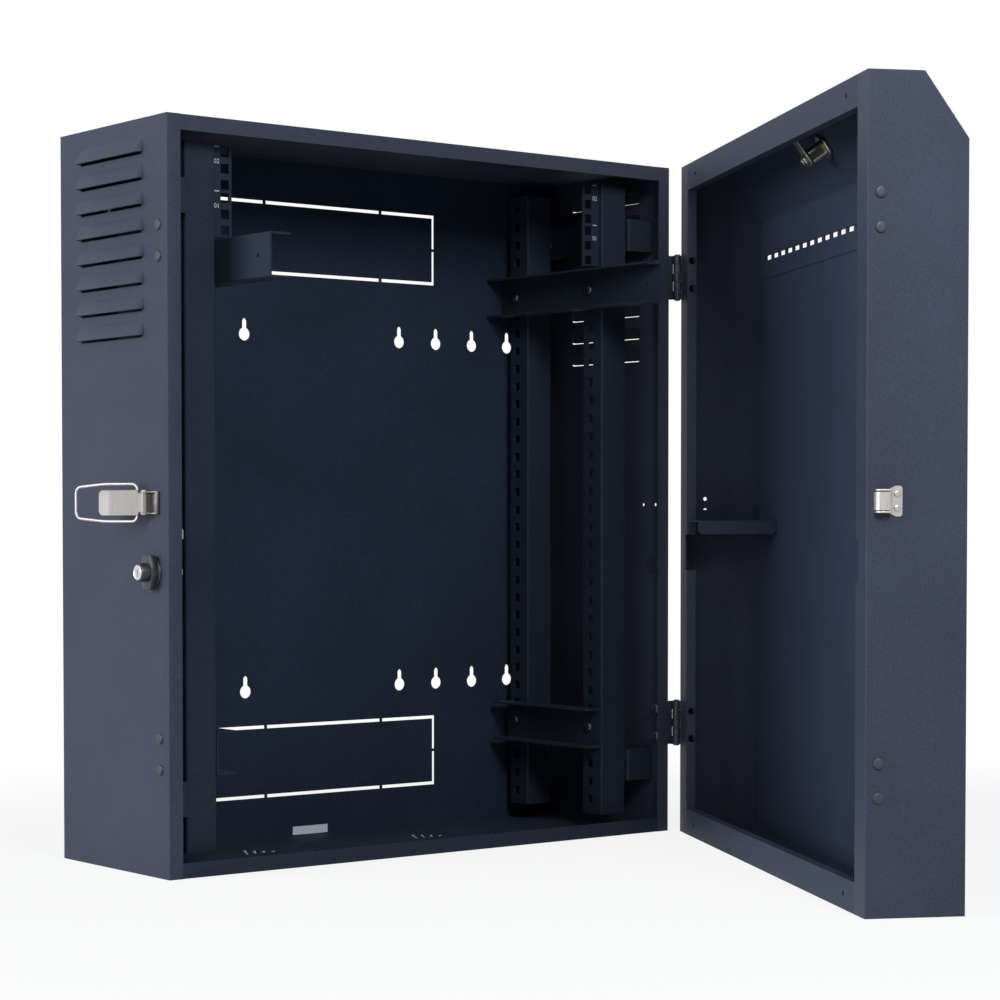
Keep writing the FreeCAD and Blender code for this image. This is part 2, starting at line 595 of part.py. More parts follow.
# ---------------------------------------------------------------- fasteners
pan_screw = new_body("pan_screw", kept=False)
add(pan_screw, "XY", "0", "screw_head_height", boss("0", "0", "screw_head", 8))
add(pan_screw, "XY", "-screw_length", "0", boss("0", "0", "screw", 6))
nut = new_body("nut", kept=False)
add(nut, "XY", "0", "nut_height", hexagon("0", "0", "nut_flats"))
cut(nut, "XY", "-1", "nut_height + 1", hole("0", "0", "screw + 0.05", 6))
rivet = new_body("rivet", kept=False)
add(rivet, "XY", "0", "rivet_rise", boss("0", "0", "rivet_head", 8))
add(rivet, "XY", "-rivet_length", "0", boss("0", "0", "rivet - 0.05", 6))
hole_plug = new_body("hole_plug", kept=False)
add(hole_plug, "XY", "0", "plug_height", boss("0", "0", "plug_head", 8))
add(hole_plug, "XY", "-plug_length", "0", boss("0", "0", "screw + screw_fit - plug_fit", 6))

web_screws, web_nuts, rail_bolts, rail_nuts = [], [], [], []
for hand in HANDS.values():
    for row in RAIL_ROWS.values():
        for middle in CHANNEL_LEVELS.values():
            place = (f"{row} + square_back", middle)
            web_screws.append(facing(f"{hand} * {WEB}", *place, (-hand, 0, 0)))
            web_nuts.append(facing(f"{hand} * (rail_inner + rail_sheet)", *place, (hand, 0, 0)))
        for level in LEVELS.values():
            place = (f"{row} + rail_bolt", f"{level} * bar_place")
            rail_bolts.append(facing(f"{hand} * (rail_outer - rail_sheet)", *place, (-hand, 0, 0)))
            rail_nuts.append(facing(f"{hand} * (rail_outer + bar_sheet)", *place, (hand, 0, 0)))
copies("channel_screws", pan_screw, web_screws)
copies("channel_nuts", nut, web_nuts)
copies("rail_bolts", pan_screw, rail_bolts)
copies("rail_nuts", nut, rail_nuts)

HINGE_SCREWS = [f"{level} * hinge_place + {end} * hinge_bolts / 2" for level in (-1, 1) for end in (-1, 1)]
case_row = f"{FRONT} + hinge_hole_case"
door_row = f"{DOOR_REAR} - hinge_hole_door"
LEAF_FACE = f"{SIDE} + hinge_sheet"
copies("hinge_case_screws", pan_screw, [facing(LEAF_FACE, case_row, z, (1, 0, 0)) for z in HINGE_SCREWS])
copies("hinge_case_nuts", nut, [facing(WALL, case_row, z, (-1, 0, 0)) for z in HINGE_SCREWS])
copies("case_plugs", hole_plug, [facing(f"-{SIDE}", case_row, z, (-1, 0, 0)) for z in HINGE_SCREWS])

# ---------------------------------------------------------------- hinges
def hinge_leaf(label, middle, first_knuckle, direction, edge, screw_row):
    """A cranked leaf: flat on the wall, stepped out to its knuckles."""
    leaf = new_body(label)
    low = f"({middle} - hinge_height / 2)"
    step_out = f"({SIDE} + hinge_out - hinge_barrel)"
    shy = "hinge_barrel + 0.4"

    def at(distance):
        return f"{HINGE_Y} + {direction} * ({distance})"

    crank = [(SIDE, at(edge)), (SIDE, at(f"{shy} + 1.5")), (step_out, at(shy)),
             (f"{step_out} + hinge_sheet", at(shy)), (f"{step_out} + hinge_sheet", at(f"{shy} + 0.9")),
             (f"{SIDE} + hinge_sheet", at(f"{shy} + 2.4")), (f"{SIDE} + hinge_sheet", at(edge))]
    add(leaf, "XY", low, f"{low} + hinge_height", crank)
    pitch = "hinge_height / hinge_knuckles"
    for knuckle in range(first_knuckle, int(value("hinge_knuckles")), 2):
        start = f"{low} + {knuckle} * {pitch} + {min(knuckle, 1)} * hinge_space / 2"
        last = knuckle == int(value("hinge_knuckles")) - 1
        end = f"{low} + {knuckle + 1} * {pitch} - {0 if last else 1} * hinge_space / 2"
        add(leaf, "XY", start, end, box(step_out, HINGE_Y, f"{step_out} + hinge_sheet", at(f"{shy} + 0.2")))
        add(leaf, "XY", start, end, boss(HINGE_X, HINGE_Y, "hinge_barrel", 10))
    cut(leaf, "XY", f"{low} - 1", f"{low} + hinge_height + 1", hole(HINGE_X, HINGE_Y, "hinge_pin + hinge_fit", 8))
    screws = [hole(screw_row, f"{middle} + {end} * hinge_bolts / 2", "screw + screw_fit", 6) for end in (-1, 1)]
    cut(leaf, "YZ", f"{SIDE} - 1", f"{SIDE} + hinge_sheet + 1", *screws)
    return leaf


door_nodes = []
for level_name, middle in HINGE_LEVELS.items():
    hinge_leaf(f"hinge_case_leaf_{level_name}", middle, 0, 1, "hinge_leaf_case", case_row)
    door_nodes.append(hinge_leaf(f"hinge_door_leaf_{level_name}", middle, 1, -1, "hinge_leaf_door", door_row))
    pin = new_body(f"hinge_pin_{level_name}")
    half = "hinge_height / 2"
    add(pin, "XY", f"{middle} - {half} - 0.1", f"{middle} + {half} + 0.1", (HINGE_X, HINGE_Y, "hinge_pin"))
    for low, high in ((f"{middle} - {half} - 1.4", f"{middle} - {half}"),
                      (f"{middle} + {half}", f"{middle} + {half} + 1.4")):
        add(pin, "XY", low, high, boss(HINGE_X, HINGE_Y, "hinge_pin + 1.2", 8))

# ---------------------------------------------------------------- door
skin = new_body("door_front")
corner_back = f"({DOOR_FRONT} + (sheet * {SLOPE} + (chamfer_height - sheet) * chamfer_depth) / chamfer_height)"
corner_low = f"({TOP} - chamfer_height - sheet * ({SLOPE} - chamfer_height) / chamfer_depth)"
rear_edge = f"({DOOR_REAR} - sheet)"
wrap = [(rear_edge, f"-{TOP}"), (DOOR_FRONT, f"-{TOP}"), (DOOR_FRONT, f"{TOP} - chamfer_height"),
        (f"{DOOR_FRONT} + chamfer_depth", TOP), (rear_edge, TOP), (rear_edge, f"{TOP} - sheet"),
        (corner_back, f"{TOP} - sheet"), (f"{DOOR_FRONT} + sheet", corner_low),
        (f"{DOOR_FRONT} + sheet", f"-{TOP} + sheet"), (rear_edge, f"-{TOP} + sheet")]
add(skin, "YZ", f"-{WALL}", WALL, wrap)
DOOR_INNER = f"({SIDE} - door_flange)"
for level in LEVELS.values():
    inner = f"{level} * ({TOP} - door_flange)"
    thick = f"{level} * ({TOP} - door_flange + sheet)"
    lip = f"({DOOR_REAR} - door_lip)"
    rim = [(DOOR_REAR, f"{level} * {TOP}"), (DOOR_REAR, inner), (lip, inner), (lip, thick),
           (rear_edge, thick), (rear_edge, f"{level} * {TOP}")]
    add(skin, "YZ", f"-{DOOR_INNER}", DOOR_INNER, rim)
vents = [box(f"{place} * vent_pitch - vent_length / 2", "vent_place - vent_height / 2",
             f"{place} * vent_pitch + vent_length / 2", "vent_place + vent_height / 2")
         for place in range(-int(value("vent_side")), int(value("vent_side")) + 1)]
cut(skin, "XZ", f"{DOOR_FRONT} - 1", f"{DOOR_FRONT} + sheet + 1", *vents)
drains = [hole(f"{hand} * ({SIDE} - 60)", f"{level} * ({TOP} - 14)", "tapped_hole", 6)
          for hand in (-1, 1) for level in (-1, 1)]
cut(skin, "XZ", f"{DOOR_REAR} - sheet - 1", f"{DOOR_REAR} + 1", *drains)
door_nodes.append(skin)

for name, hand in (("free", -1), ("hinge", 1)):
    side = new_body(f"door_side_{name}")
    outline = [(DOOR_REAR, f"-{TOP}"), (DOOR_REAR, TOP), (f"{DOOR_FRONT} + chamfer_depth", TOP),
               (DOOR_FRONT, f"{TOP} - chamfer_height"), (DOOR_FRONT, f"-{TOP}")]
    add(side, "YZ", *span(hand, WALL, SIDE), outline)
    flange = [(WALL, DOOR_REAR), (DOOR_INNER, DOOR_REAR), (DOOR_INNER, rear_edge), (WALL, rear_edge)]
    add(side, "XY", f"-{TOP}", TOP, mirrored(flange, hand))
    corner = f"({TOP} - door_flange + sheet)"
    lip = box(DOOR_INNER, f"{DOOR_REAR} - door_lip", f"{DOOR_INNER} + sheet", rear_edge)
    add(side, "XY", f"-{corner}", corner, mirrored(lip, hand))
    crease(side, "XY", "edge_fold", (f"{hand} * {SIDE}", DOOR_REAR))
    low = "lock_place - cam_width / 2 - 0.8"
    notch = box(f"{DOOR_INNER} - 1", f"{DOOR_REAR} - door_lip - 1", f"{DOOR_INNER} + notch_depth", f"{DOOR_REAR} + 1")
    cut(side, "XY", low, f"{low} + notch_height", mirrored(notch, hand))
    wall = span(hand, f"{WALL} - 1", f"{SIDE} + 1")
    cut(side, "YZ", *wall, *[hole(door_row, z, "screw + screw_fit", 8) for z in HINGE_SCREWS])
    access = "(door_lip / 2 - 0.8)"
    windows = [boss(f"{rear_edge} - {access}", z, access, 8) for z in HINGE_SCREWS]
    cut(side, "YZ", *span(hand, f"{DOOR_INNER} - 1", f"{DOOR_INNER} + sheet + 1"), *windows)
    rivets = [hole(f"{DOOR_REAR} - rivet_back", f"latch_place + {end} * rivet_spacing / 2", "rivet", 6)
              for end in (-1, 1)]
    cut(side, "YZ", *wall, *rivets)
    door_nodes.append(side)

cover = new_body("vent_cover")
cover_back = f"{DOOR_FRONT} + sheet"
cover_side = "(vent_side * vent_pitch + vent_length / 2 + cover_margin)"
add(cover, "XZ", cover_back, f"{cover_back} + cover_sheet",
    box(f"-{cover_side}", "vent_place - cover_height / 2", cover_side, "vent_place + cover_height / 2"))
window = box(f"-({cover_side} - cover_margin / 2)", "vent_place - vent_height / 2 - 0.5",
             f"{cover_side} - cover_margin / 2", "vent_place + vent_height / 2 + 0.5")
cut(cover, "XZ", f"{cover_back} - 1", f"{cover_back} + cover_sheet + 1", window)
door_nodes.append(cover)

gusset = new_body("door_gusset")
gusset_rear = f"{DOOR_REAR} - sheet - 0.5"
shelf = [("gusset_edge", gusset_rear), (f"{DOOR_INNER} - 1.5", gusset_rear),
         (f"{DOOR_INNER} - 1.5", f"{DOOR_REAR} - door_lip - 1"), (WALL, f"{DOOR_REAR} - door_lip - 1"),
         (WALL, f"{DOOR_FRONT} + sheet"), ("gusset_edge", f"{DOOR_FRONT} + sheet")]
add(gusset, "XY", "gusset_top - sheet", "gusset_top", shelf)
add(gusset, "XY", "gusset_top - gusset_lip", "gusset_top",
    box("gusset_edge", gusset_rear, "gusset_edge + sheet", f"{DOOR_FRONT} + sheet + 0.5"))
add(gusset, "XY", "gusset_top", "gusset_top + 12",
    box(f"{WALL} - sheet", f"{DOOR_REAR} - door_lip - 1", WALL, f"{DOOR_FRONT} + sheet + 6"))
crease(gusset, "YZ", "4", (f"{DOOR_FRONT} + sheet + 0.5", "gusset_top - gusset_lip"),
       (gusset_rear, "gusset_top - gusset_lip"))
door_nodes.append(gusset)

door_nodes.append(copies("hinge_door_screws", pan_screw,
                         [facing(LEAF_FACE, door_row, z, (1, 0, 0)) for z in HINGE_SCREWS]))
door_nodes.append(copies("hinge_door_nuts", nut, [facing(WALL, door_row, z, (-1, 0, 0)) for z in HINGE_SCREWS]))
door_nodes.append(copies("door_plugs", hole_plug,
                         [facing(f"-{SIDE}", door_row, z, (-1, 0, 0)) for z in HINGE_SCREWS]))

# ---------------------------------------------------------------- keeper on the door's free side
keeper = new_body("latch_keeper")
plate_end = f"{DOOR_REAR} - keeper_hook - keeper_length"
foot = f"{DOOR_REAR} - keeper_hook - 15.4"
add(keeper, "XY", "latch_place - keeper_width / 2", "latch_place + keeper_width / 2",
    mirrored(box(SIDE, plate_end, f"{SIDE} + keeper_sheet", foot), -1))
hook = f"{DOOR_REAR} - keeper_hook"
hump = [(SIDE, f"{foot} - 0.6"), (f"{SIDE} + keeper_sheet", f"{foot} - 0.6"), (f"{SIDE} + keeper_sheet", f"{foot} - 0.2"),
        (f"{SIDE} + keeper_rise - 1.4", f"{foot} + 0.6"), (f"{SIDE} + keeper_rise", f"{foot} + 2.4"),
        (f"{SIDE} + keeper_rise", f"{hook} - 5.6"), (f"{SIDE} + keeper_rise - 2", f"{hook} - 2.4"),
        (f"{SIDE} + 0.4", hook), (SIDE, f"{hook} - 1.4"),
        (f"{SIDE} + keeper_rise - keeper_sheet - 1.8", f"{hook} - 3.6"),
        (f"{SIDE} + keeper_rise - keeper_sheet", f"{hook} - 6"),
        (f"{SIDE} + keeper_rise - keeper_sheet", f"{foot} + 2.8"),
        (f"{SIDE} + keeper_rise - keeper_sheet - 1", f"{foot} + 1.8"), (SIDE, f"{foot} + 0.8")]
add(keeper, "XY", "latch_place - keeper_neck / 2", "latch_place + keeper_neck / 2", mirrored(hump, -1))
cut(keeper, "YZ", *span(-1, f"{SIDE} - 1", f"{SIDE} + keeper_sheet + 1"), *rivets)
door_nodes.append(keeper)
door_nodes.append(copies("keeper_rivets", rivet,
                         [facing(f"-({SIDE} + keeper_sheet)", f"{DOOR_REAR} - rivet_back",
                                 f"latch_place + {end} * rivet_spacing / 2", (-1, 0, 0)) for end in (-1, 1)]))

# ---------------------------------------------------------------- draw latch on the case's left side
PIN_X = f"(-({SIDE} + latch_pin_out))"
PIN_Y = f"({FRONT} + latch_pin_back)"
bracket = new_body("latch_bracket")
bracket_near = f"{FRONT} + latch_front"
add(bracket, "XY", "latch_place - latch_width / 2", "latch_place + latch_width / 2",
    box(f"-({SIDE} + latch_sheet)", bracket_near, f"-{SIDE}", f"{bracket_near} + latch_length"))
for end in (-1, 1):
    ear = span(end, "latch_width / 2 - latch_sheet", "latch_width / 2")
    low, high = [f"latch_place + {level}" for level in ear]
    add(bracket, "XY", low, high,
        box(f"-({SIDE} + 4)", bracket_near, f"-{SIDE}", f"{bracket_near} + latch_length"))
    add(bracket, "XY", low, high, box(PIN_X, f"{PIN_Y} - 4.2", f"-{SIDE}", f"{PIN_Y} + 4.2"))
    add(bracket, "XY", low, high, boss(PIN_X, PIN_Y, "4.2", 10))
cut(bracket, "XY", "latch_place - latch_width", "latch_place + latch_width",
    hole(PIN_X, PIN_Y, "latch_pin + latch_fit", 8))
bracket_rivets = [(f"{bracket_near} + latch_length / 2 + {end} * latch_length / 3", "latch_place") for end in (-1, 1)]
cut(bracket, "YZ", *span(-1, f"{SIDE} - 1", f"{SIDE} + latch_sheet + 1"),
    *[hole(y, z, "rivet", 6) for y, z in bracket_rivets])
copies("latch_rivets", rivet, [facing(f"-({SIDE} + latch_sheet)", y, z, (-1, 0, 0)) for y, z in bracket_rivets])

pin = new_body("latch_pin")
add(pin, "XY", "latch_place - latch_width / 2 - 0.2", "latch_place + latch_width / 2 + 0.2",
    (PIN_X, PIN_Y, "latch_pin"))
for end in (-1, 1):
    low, high = [f"latch_place + {level}" for level in span(end, "latch_width / 2 + 0.1", "latch_width / 2 + 1.3")]
    add(pin, "XY", low, high, boss(PIN_X, PIN_Y, "latch_pin + 0.9", 8))

lever = new_body("latch_lever")
ring = "3.3"
plate_out = f"{PIN_X} - {ring}"
plate_in = f"{PIN_X} - {ring} + lever_sheet"
tongue = "(latch_width / 2 - latch_sheet - 0.5)"
add(lever, "XY", f"latch_place - {tongue}", f"latch_place + {tongue}", boss(PIN_X, PIN_Y, ring, 10))
add(lever, "XY", f"latch_place - {tongue}", f"latch_place + {tongue}", box(plate_out, PIN_Y, plate_in, f"{PIN_Y} + 6"))
tip = f"{PIN_Y} + lever_length"
blade = [(plate_out, f"{PIN_Y} + 5.4"), (plate_in, f"{PIN_Y} + 5.4"), (plate_in, f"{tip} - 10"),
         (f"{plate_in} - 3.4", tip), (f"{plate_out} - 3.4", tip), (plate_out, f"{tip} - 10.3")]
add(lever, "XY", "latch_place - lever_width / 2", "latch_place + lever_width / 2", blade)
cut(lever, "XY", f"latch_place - {tongue} - 1", f"latch_place + {tongue} + 1",
    hole(PIN_X, PIN_Y, "latch_pin + latch_fit", 8))
BAIL_Y = f"({PIN_Y} + bail_pivot)"
for end in (-1, 1):
    ear = span(end, "lever_width / 2 - lever_sheet", "lever_width / 2")
    low, high = [f"latch_place + {level}" for level in ear]
    add(lever, "XY", low, high, box(plate_out, f"{BAIL_Y} - 4", f"{PIN_X} + 2.6", f"{BAIL_Y} + 4"))
cut(lever, "XY", "latch_place - lever_width", "latch_place + lever_width", (PIN_X, BAIL_Y, "bail_wire + bail_fit"))


def turned(x, y, angle):
    """A placement that turns a piece about an upright axis at x, y."""
    centre = App.Vector(value(x), value(y), 0)
    return App.Placement(App.Vector(0, 0, 0), App.Rotation(App.Vector(0, 0, 1), angle), centre)


lever.Placement = turned(PIN_X, PIN_Y, value("lever_rest"))

# the bail is one closed loop of wire: a six-sided section carried round a rounded outline, with mitred joints
outline = [(0, -value("bail_near")), (0, value("bail_near")), (value("bail_knee"), value("bail_near")),
           (value("bail_length"), value("bail_far")), (value("bail_length"), -value("bail_far")),
           (value("bail_knee"), -value("bail_near"))]
corners = [App.Vector(value(PIN_X), value(BAIL_Y) + back, value("latch_place") + up) for back, up in outline]
route = []
for index, corner in enumerate(corners):
    before = (corners[index - 1] - corner).normalize()
    after = (corners[(index + 1) % len(corners)] - corner).normalize()
    half_turn = before.getAngle(after) / 2
    setback = value("bail_corner") / math.tan(half_turn)
    crown_gap = value("bail_corner") * (1 / math.sin(half_turn) - 1)
    route += [corner + before * setback, corner + (before + after).normalize() * crown_gap, corner + after * setback]
outward = App.Vector(1, 0, 0)
wire_rings = []
for index, point in enumerate(route):
    headings = [(point - route[index - 1]).normalize(), (route[(index + 1) % len(route)] - point).normalize()]
    mitre = (headings[0].cross(outward) + headings[1].cross(outward)).normalize()
    mitre *= 1 / mitre.dot(headings[0].cross(outward))
    wire_rings.append([point + (mitre * math.cos(math.radians(spoke)) + outward * math.sin(math.radians(spoke)))
                       * value("bail_wire") for spoke in range(0, 360, 60)])
faces = []
for index, near_ring in enumerate(wire_rings):
    far_ring = wire_rings[(index + 1) % len(wire_rings)]
    for side in range(6):
        after = (side + 1) % 6
        around = [near_ring[side], far_ring[side], far_ring[after], near_ring[after], near_ring[side]]
        faces.append(Part.Face(Part.makePolygon(around)))
bail = doc.addObject("Part::Feature", "latch_bail")
bail.Label = "latch_bail"
bail.Shape = Part.Solid(Part.makeShell(faces))
if bail.Shape.Volume < 0:
    bail.Shape = bail.Shape.reversed()
nodes.append(bail)
bail.Placement = turned(PIN_X, PIN_Y, value("lever_rest")).multiply(
    turned(PIN_X, BAIL_Y, value("bail_rest") - value("lever_rest")))

# ---------------------------------------------------------------- side lock with its wing knob and hook cam
LOCK = (f"({FRONT} + lock_back)", "lock_place")
LOCK_Y, LOCK_Z = LOCK
lock_body = new_body("side_lock_body")
add(lock_body, "YZ", f"-({SIDE} + 2.5)", f"-{SIDE}", boss(*LOCK, "lock_flange", 16))
add(lock_body, "YZ", f"-{SIDE}", f"-({SIDE} - lock_reach)", boss(*LOCK, "lock_barrel", 12))
cut(lock_body, "YZ", f"-({SIDE} + 3)", f"-({SIDE} - lock_reach - 1)", hole(*LOCK, "lock_shaft + hinge_fit", 8))
lock_nut = new_body("side_lock_nut")
add(lock_nut, "YZ", f"-{WALL}", f"-({WALL} - 4)", hexagon(*LOCK, "24"))
cut(lock_nut, "YZ", f"-({WALL} + 1)", f"-({WALL} - 5)", hole(*LOCK, "lock_barrel + 0.05", 12))

KNOB_BACK = f"-({SIDE} + 2.5 + knob_gap)"
KNOB_FACE = f"-({SIDE} + knob_out)"
CAM_BACK = f"-({SIDE} - lock_reach - 1.2)"
CAM_FACE = f"-({SIDE} - lock_reach - 1.2 - cam_sheet)"
knob = new_body("side_knob")
add(knob, "YZ", KNOB_FACE, KNOB_BACK, boss(*LOCK, "lock_barrel", 20))
wings = [("-12", "-knob_wing"), ("12", "-knob_wing"), ("8", "-8"), ("8", "8"), ("12", "knob_wing"),
         ("-12", "knob_wing"), ("-8", "8"), ("-8", "-8")]
add(knob, "YZ", f"{KNOB_BACK} - 7", KNOB_BACK, [(f"{LOCK_Y} + {y}", f"{LOCK_Z} + {z}") for y, z in wings])
add(knob, "YZ", KNOB_BACK, CAM_BACK, (*LOCK, "lock_shaft"))
add(knob, "YZ", CAM_BACK, f"{CAM_FACE} - 0.2", square(*LOCK, "7"))
cut(knob, "YZ", f"{KNOB_FACE} - 1", f"{KNOB_FACE} + 12", hole(*LOCK, "key_plug + hinge_fit", 10))
cut(knob, "YZ", f"{CAM_FACE} - 10", f"{CAM_FACE} + 1", hole(*LOCK, "2.05", 6))

side_cam = new_body("side_cam")
arm = "cam_width / 2"
hook = [(f"{LOCK_Y} + {arm}", LOCK_Z), (f"{LOCK_Y} + {arm}", f"{LOCK_Z} + cam_reach"),
        (f"{LOCK_Y} - {arm} - cam_nose + 2", f"{LOCK_Z} + cam_reach"),
        (f"{LOCK_Y} - {arm} - cam_nose", f"{LOCK_Z} + cam_reach - 2"),
        (f"{LOCK_Y} - {arm} - cam_nose", f"{LOCK_Z} + cam_reach - 10"),
        (f"{LOCK_Y} - {arm}", f"{LOCK_Z} + cam_reach - 10.5"), (f"{LOCK_Y} - {arm}", LOCK_Z)]
add(side_cam, "YZ", CAM_BACK, CAM_FACE, boss(*LOCK, "9", 12))
add(side_cam, "YZ", CAM_BACK, CAM_FACE, hook)
cut(side_cam, "YZ", f"{CAM_BACK} - 1", f"{CAM_FACE} + 1", square(*LOCK, "7.1"))
cam_screw = new_body("side_cam_screw")
add(cam_screw, "YZ", CAM_FACE, f"{CAM_FACE} + 2.6", boss(*LOCK, "5.5", 8))
add(cam_screw, "YZ", f"{CAM_FACE} - 9", CAM_FACE, boss(*LOCK, "2", 6))
key_plug = new_body("side_key_plug")
add(key_plug, "YZ", f"{KNOB_FACE} - 1.3", f"{KNOB_FACE} - 0.3", boss(*LOCK, "key_face", 16))
add(key_plug, "YZ", f"{KNOB_FACE} - 0.3", f"{KNOB_FACE} + 11.5", (*LOCK, "key_plug"))
cut(key_plug, "YZ", f"{KNOB_FACE} - 2", f"{KNOB_FACE} + 1",
    box(f"{LOCK_Y} - 0.7", f"{LOCK_Z} - 4", f"{LOCK_Y} + 0.7", f"{LOCK_Z} + 4"))

# the unused lock hole on the right wall is closed by a plug
right_plug = new_body("side_lock_plug")
add(right_plug, "YZ", SIDE, f"{SIDE} + 1.5", boss(*LOCK, "lock_barrel + 2", 12))
add(right_plug, "YZ", f"{WALL} - 1", SIDE, boss(*LOCK, "lock_barrel + lock_fit - plug_fit", 12))

# ---------------------------------------------------------------- top lock on the door's slope
TILT = "atan2(chamfer_height; chamfer_depth)"
flats = "(top_barrel - 1.2)"


def on_slope(node):
    """Seat a piece drawn about Z on the door's slope, then swing it with the door."""
    tilt = math.degrees(math.atan2(value("chamfer_height"), value("chamfer_depth")))
    share = value(f"top_lock_down / {SLOPE}")
    seat = App.Vector(0, value(f"{DOOR_FRONT} + chamfer_depth") - share * value("chamfer_depth"),
                      value(TOP) - share * value("chamfer_height"))
    placed = App.Placement(seat, App.Rotation(App.Vector(1, 0, 0), tilt))
    node.Placement = turned(HINGE_X, HINGE_Y, value("door_open")).multiply(placed)


top_body = new_body("top_lock_body")
add(top_body, "XY", "0", "2.4", boss("0", "0", "top_flange", 16))
add(top_body, "XY", "-top_reach", "0", boss("0", "0", "top_barrel", 12))
for hand in (-1, 1):
    near, far = span(hand, flats, "top_barrel + 1")
    cut(top_body, "XY", "-top_reach - 1", "-sheet", box(near, "-top_barrel - 1", far, "top_barrel + 1"))
cut(top_body, "XY", "-top_reach - 1", "3.4", hole("0", "0", "top_plug + hinge_fit", 8))
top_nut = new_body("top_lock_nut")
add(top_nut, "XY", "-sheet - 3.5", "-sheet", hexagon("0", "0", "24"))
cut(top_nut, "XY", "-sheet - 4.5", "0", hole("0", "0", "top_barrel + 0.05", 12))
top_plug = new_body("top_lock_plug")
add(top_plug, "XY", "2.7", "3.6", boss("0", "0", "top_plug + 3", 16))
add(top_plug, "XY", "-top_reach - 0.3", "2.7", ("0", "0", "top_plug"))
add(top_plug, "XY", "-top_reach - 3.1", "-top_reach - 0.3", square("0", "0", "6"))
add(top_plug, "XY", "-top_reach - 8.5", "-top_reach - 3.1", boss("0", "0", "2.9", 6))
cut(top_plug, "XY", "1", "4", box("-0.7", "-4", "0.7", "4"))
top_cam = new_body("top_lock_cam")
cam_low, cam_high = "-top_reach - 3", "-top_reach - 0.7"
add(top_cam, "XY", cam_low, cam_high, boss("0", "0", "top_cam_width / 2 + 1.5", 12))
add(top_cam, "XY", cam_low, cam_high,
    box("-top_cam_width / 2", "0", "top_cam_width / 2", "top_cam_length"))
crease(top_cam, "XY", "2.5", ("-top_cam_width / 2", "top_cam_length"), ("top_cam_width / 2", "top_cam_length"))
cut(top_cam, "XY", f"{cam_low} - 1", f"{cam_high} + 1", square("0", "0", "6.1"))
top_cam_nut = new_body("top_lock_cam_nut")
add(top_cam_nut, "XY", f"{cam_low} - 3.6", f"{cam_low} - 0.2", hexagon("0", "0", "10"))
cut(top_cam_nut, "XY", f"{cam_low} - 4.6", f"{cam_low} + 1", hole("0", "0", "2.95", 6))
for node in (top_body, top_nut, top_plug, top_cam, top_cam_nut):
    on_slope(node)

share = f"(top_lock_down / {SLOPE})"
bore = skin.newObject("PartDesign::SubtractiveCylinder", "LockBore")
bore.setExpression("Radius", bound("top_barrel + 0.1"))
bore.Height = 10
tilt = math.degrees(math.atan2(value("chamfer_height"), value("chamfer_depth")))
bore.Placement = App.Placement(App.Vector(0, 0, 0), App.Rotation(App.Vector(1, 0, 0), tilt))
lean_back = f"(5 * chamfer_height / {SLOPE})"
lean_up = f"(5 * chamfer_depth / {SLOPE})"
bore.setExpression("Placement.Base.y",
                   bound(f"{DOOR_FRONT} + chamfer_depth * (1 - {share}) + {lean_back}"))
bore.setExpression("Placement.Base.z", bound(f"{TOP} - chamfer_height * {share} - {lean_up}"))

for node in door_nodes:
    if node.TypeId == "Part::Feature":
        node.Placement = turned(HINGE_X, HINGE_Y, value("door_open"))
    else:
        swing(node)

# ---------------------------------------------------------------- check and write
doc.recompute()
broken = [part.Label for part in doc.Objects if "Invalid" in part.State or "Error" in part.State]
broken += [node.Label for node in nodes if node.Shape.isNull() or not node.Shape.isValid()]
if broken:
    raise SystemExit("failed: " + ", ".join(sorted(set(broken))))
os.makedirs("parts", exist_ok=True)
for node in nodes:
    node.Shape.exportStep(os.path.join("parts", node.Label + ".step"))
    print(node.Label, len(node.Shape.Solids), round(node.Shape.Volume), sep="\t")
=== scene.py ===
"""Wall mount network cabinet: paint, plating, plastic, printed marks and a plain studio."""
import math

import bmesh
import bpy
from mathutils import Matrix, Vector


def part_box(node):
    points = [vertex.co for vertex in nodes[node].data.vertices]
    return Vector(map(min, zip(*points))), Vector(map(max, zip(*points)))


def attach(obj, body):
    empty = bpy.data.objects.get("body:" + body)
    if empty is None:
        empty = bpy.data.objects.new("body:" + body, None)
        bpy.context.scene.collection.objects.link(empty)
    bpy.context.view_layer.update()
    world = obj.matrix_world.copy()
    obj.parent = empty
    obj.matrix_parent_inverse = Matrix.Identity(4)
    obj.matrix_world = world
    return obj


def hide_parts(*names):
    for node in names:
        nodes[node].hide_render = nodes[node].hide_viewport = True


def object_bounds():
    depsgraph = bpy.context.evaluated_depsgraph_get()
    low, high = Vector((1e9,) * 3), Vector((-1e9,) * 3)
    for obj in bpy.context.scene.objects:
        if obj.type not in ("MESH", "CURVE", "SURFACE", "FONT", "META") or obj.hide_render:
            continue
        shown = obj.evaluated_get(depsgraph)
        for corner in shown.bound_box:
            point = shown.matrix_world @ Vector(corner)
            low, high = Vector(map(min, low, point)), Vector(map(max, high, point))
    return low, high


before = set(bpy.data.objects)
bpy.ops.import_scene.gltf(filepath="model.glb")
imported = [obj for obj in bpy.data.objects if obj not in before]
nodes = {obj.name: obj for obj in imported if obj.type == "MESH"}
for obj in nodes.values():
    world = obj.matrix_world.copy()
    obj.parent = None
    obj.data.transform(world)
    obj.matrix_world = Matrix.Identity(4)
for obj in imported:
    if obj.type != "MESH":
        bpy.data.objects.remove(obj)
cad_box = [list(corner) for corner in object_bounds()]
scene = bpy.context.scene
scene.view_settings.view_transform = "Standard"

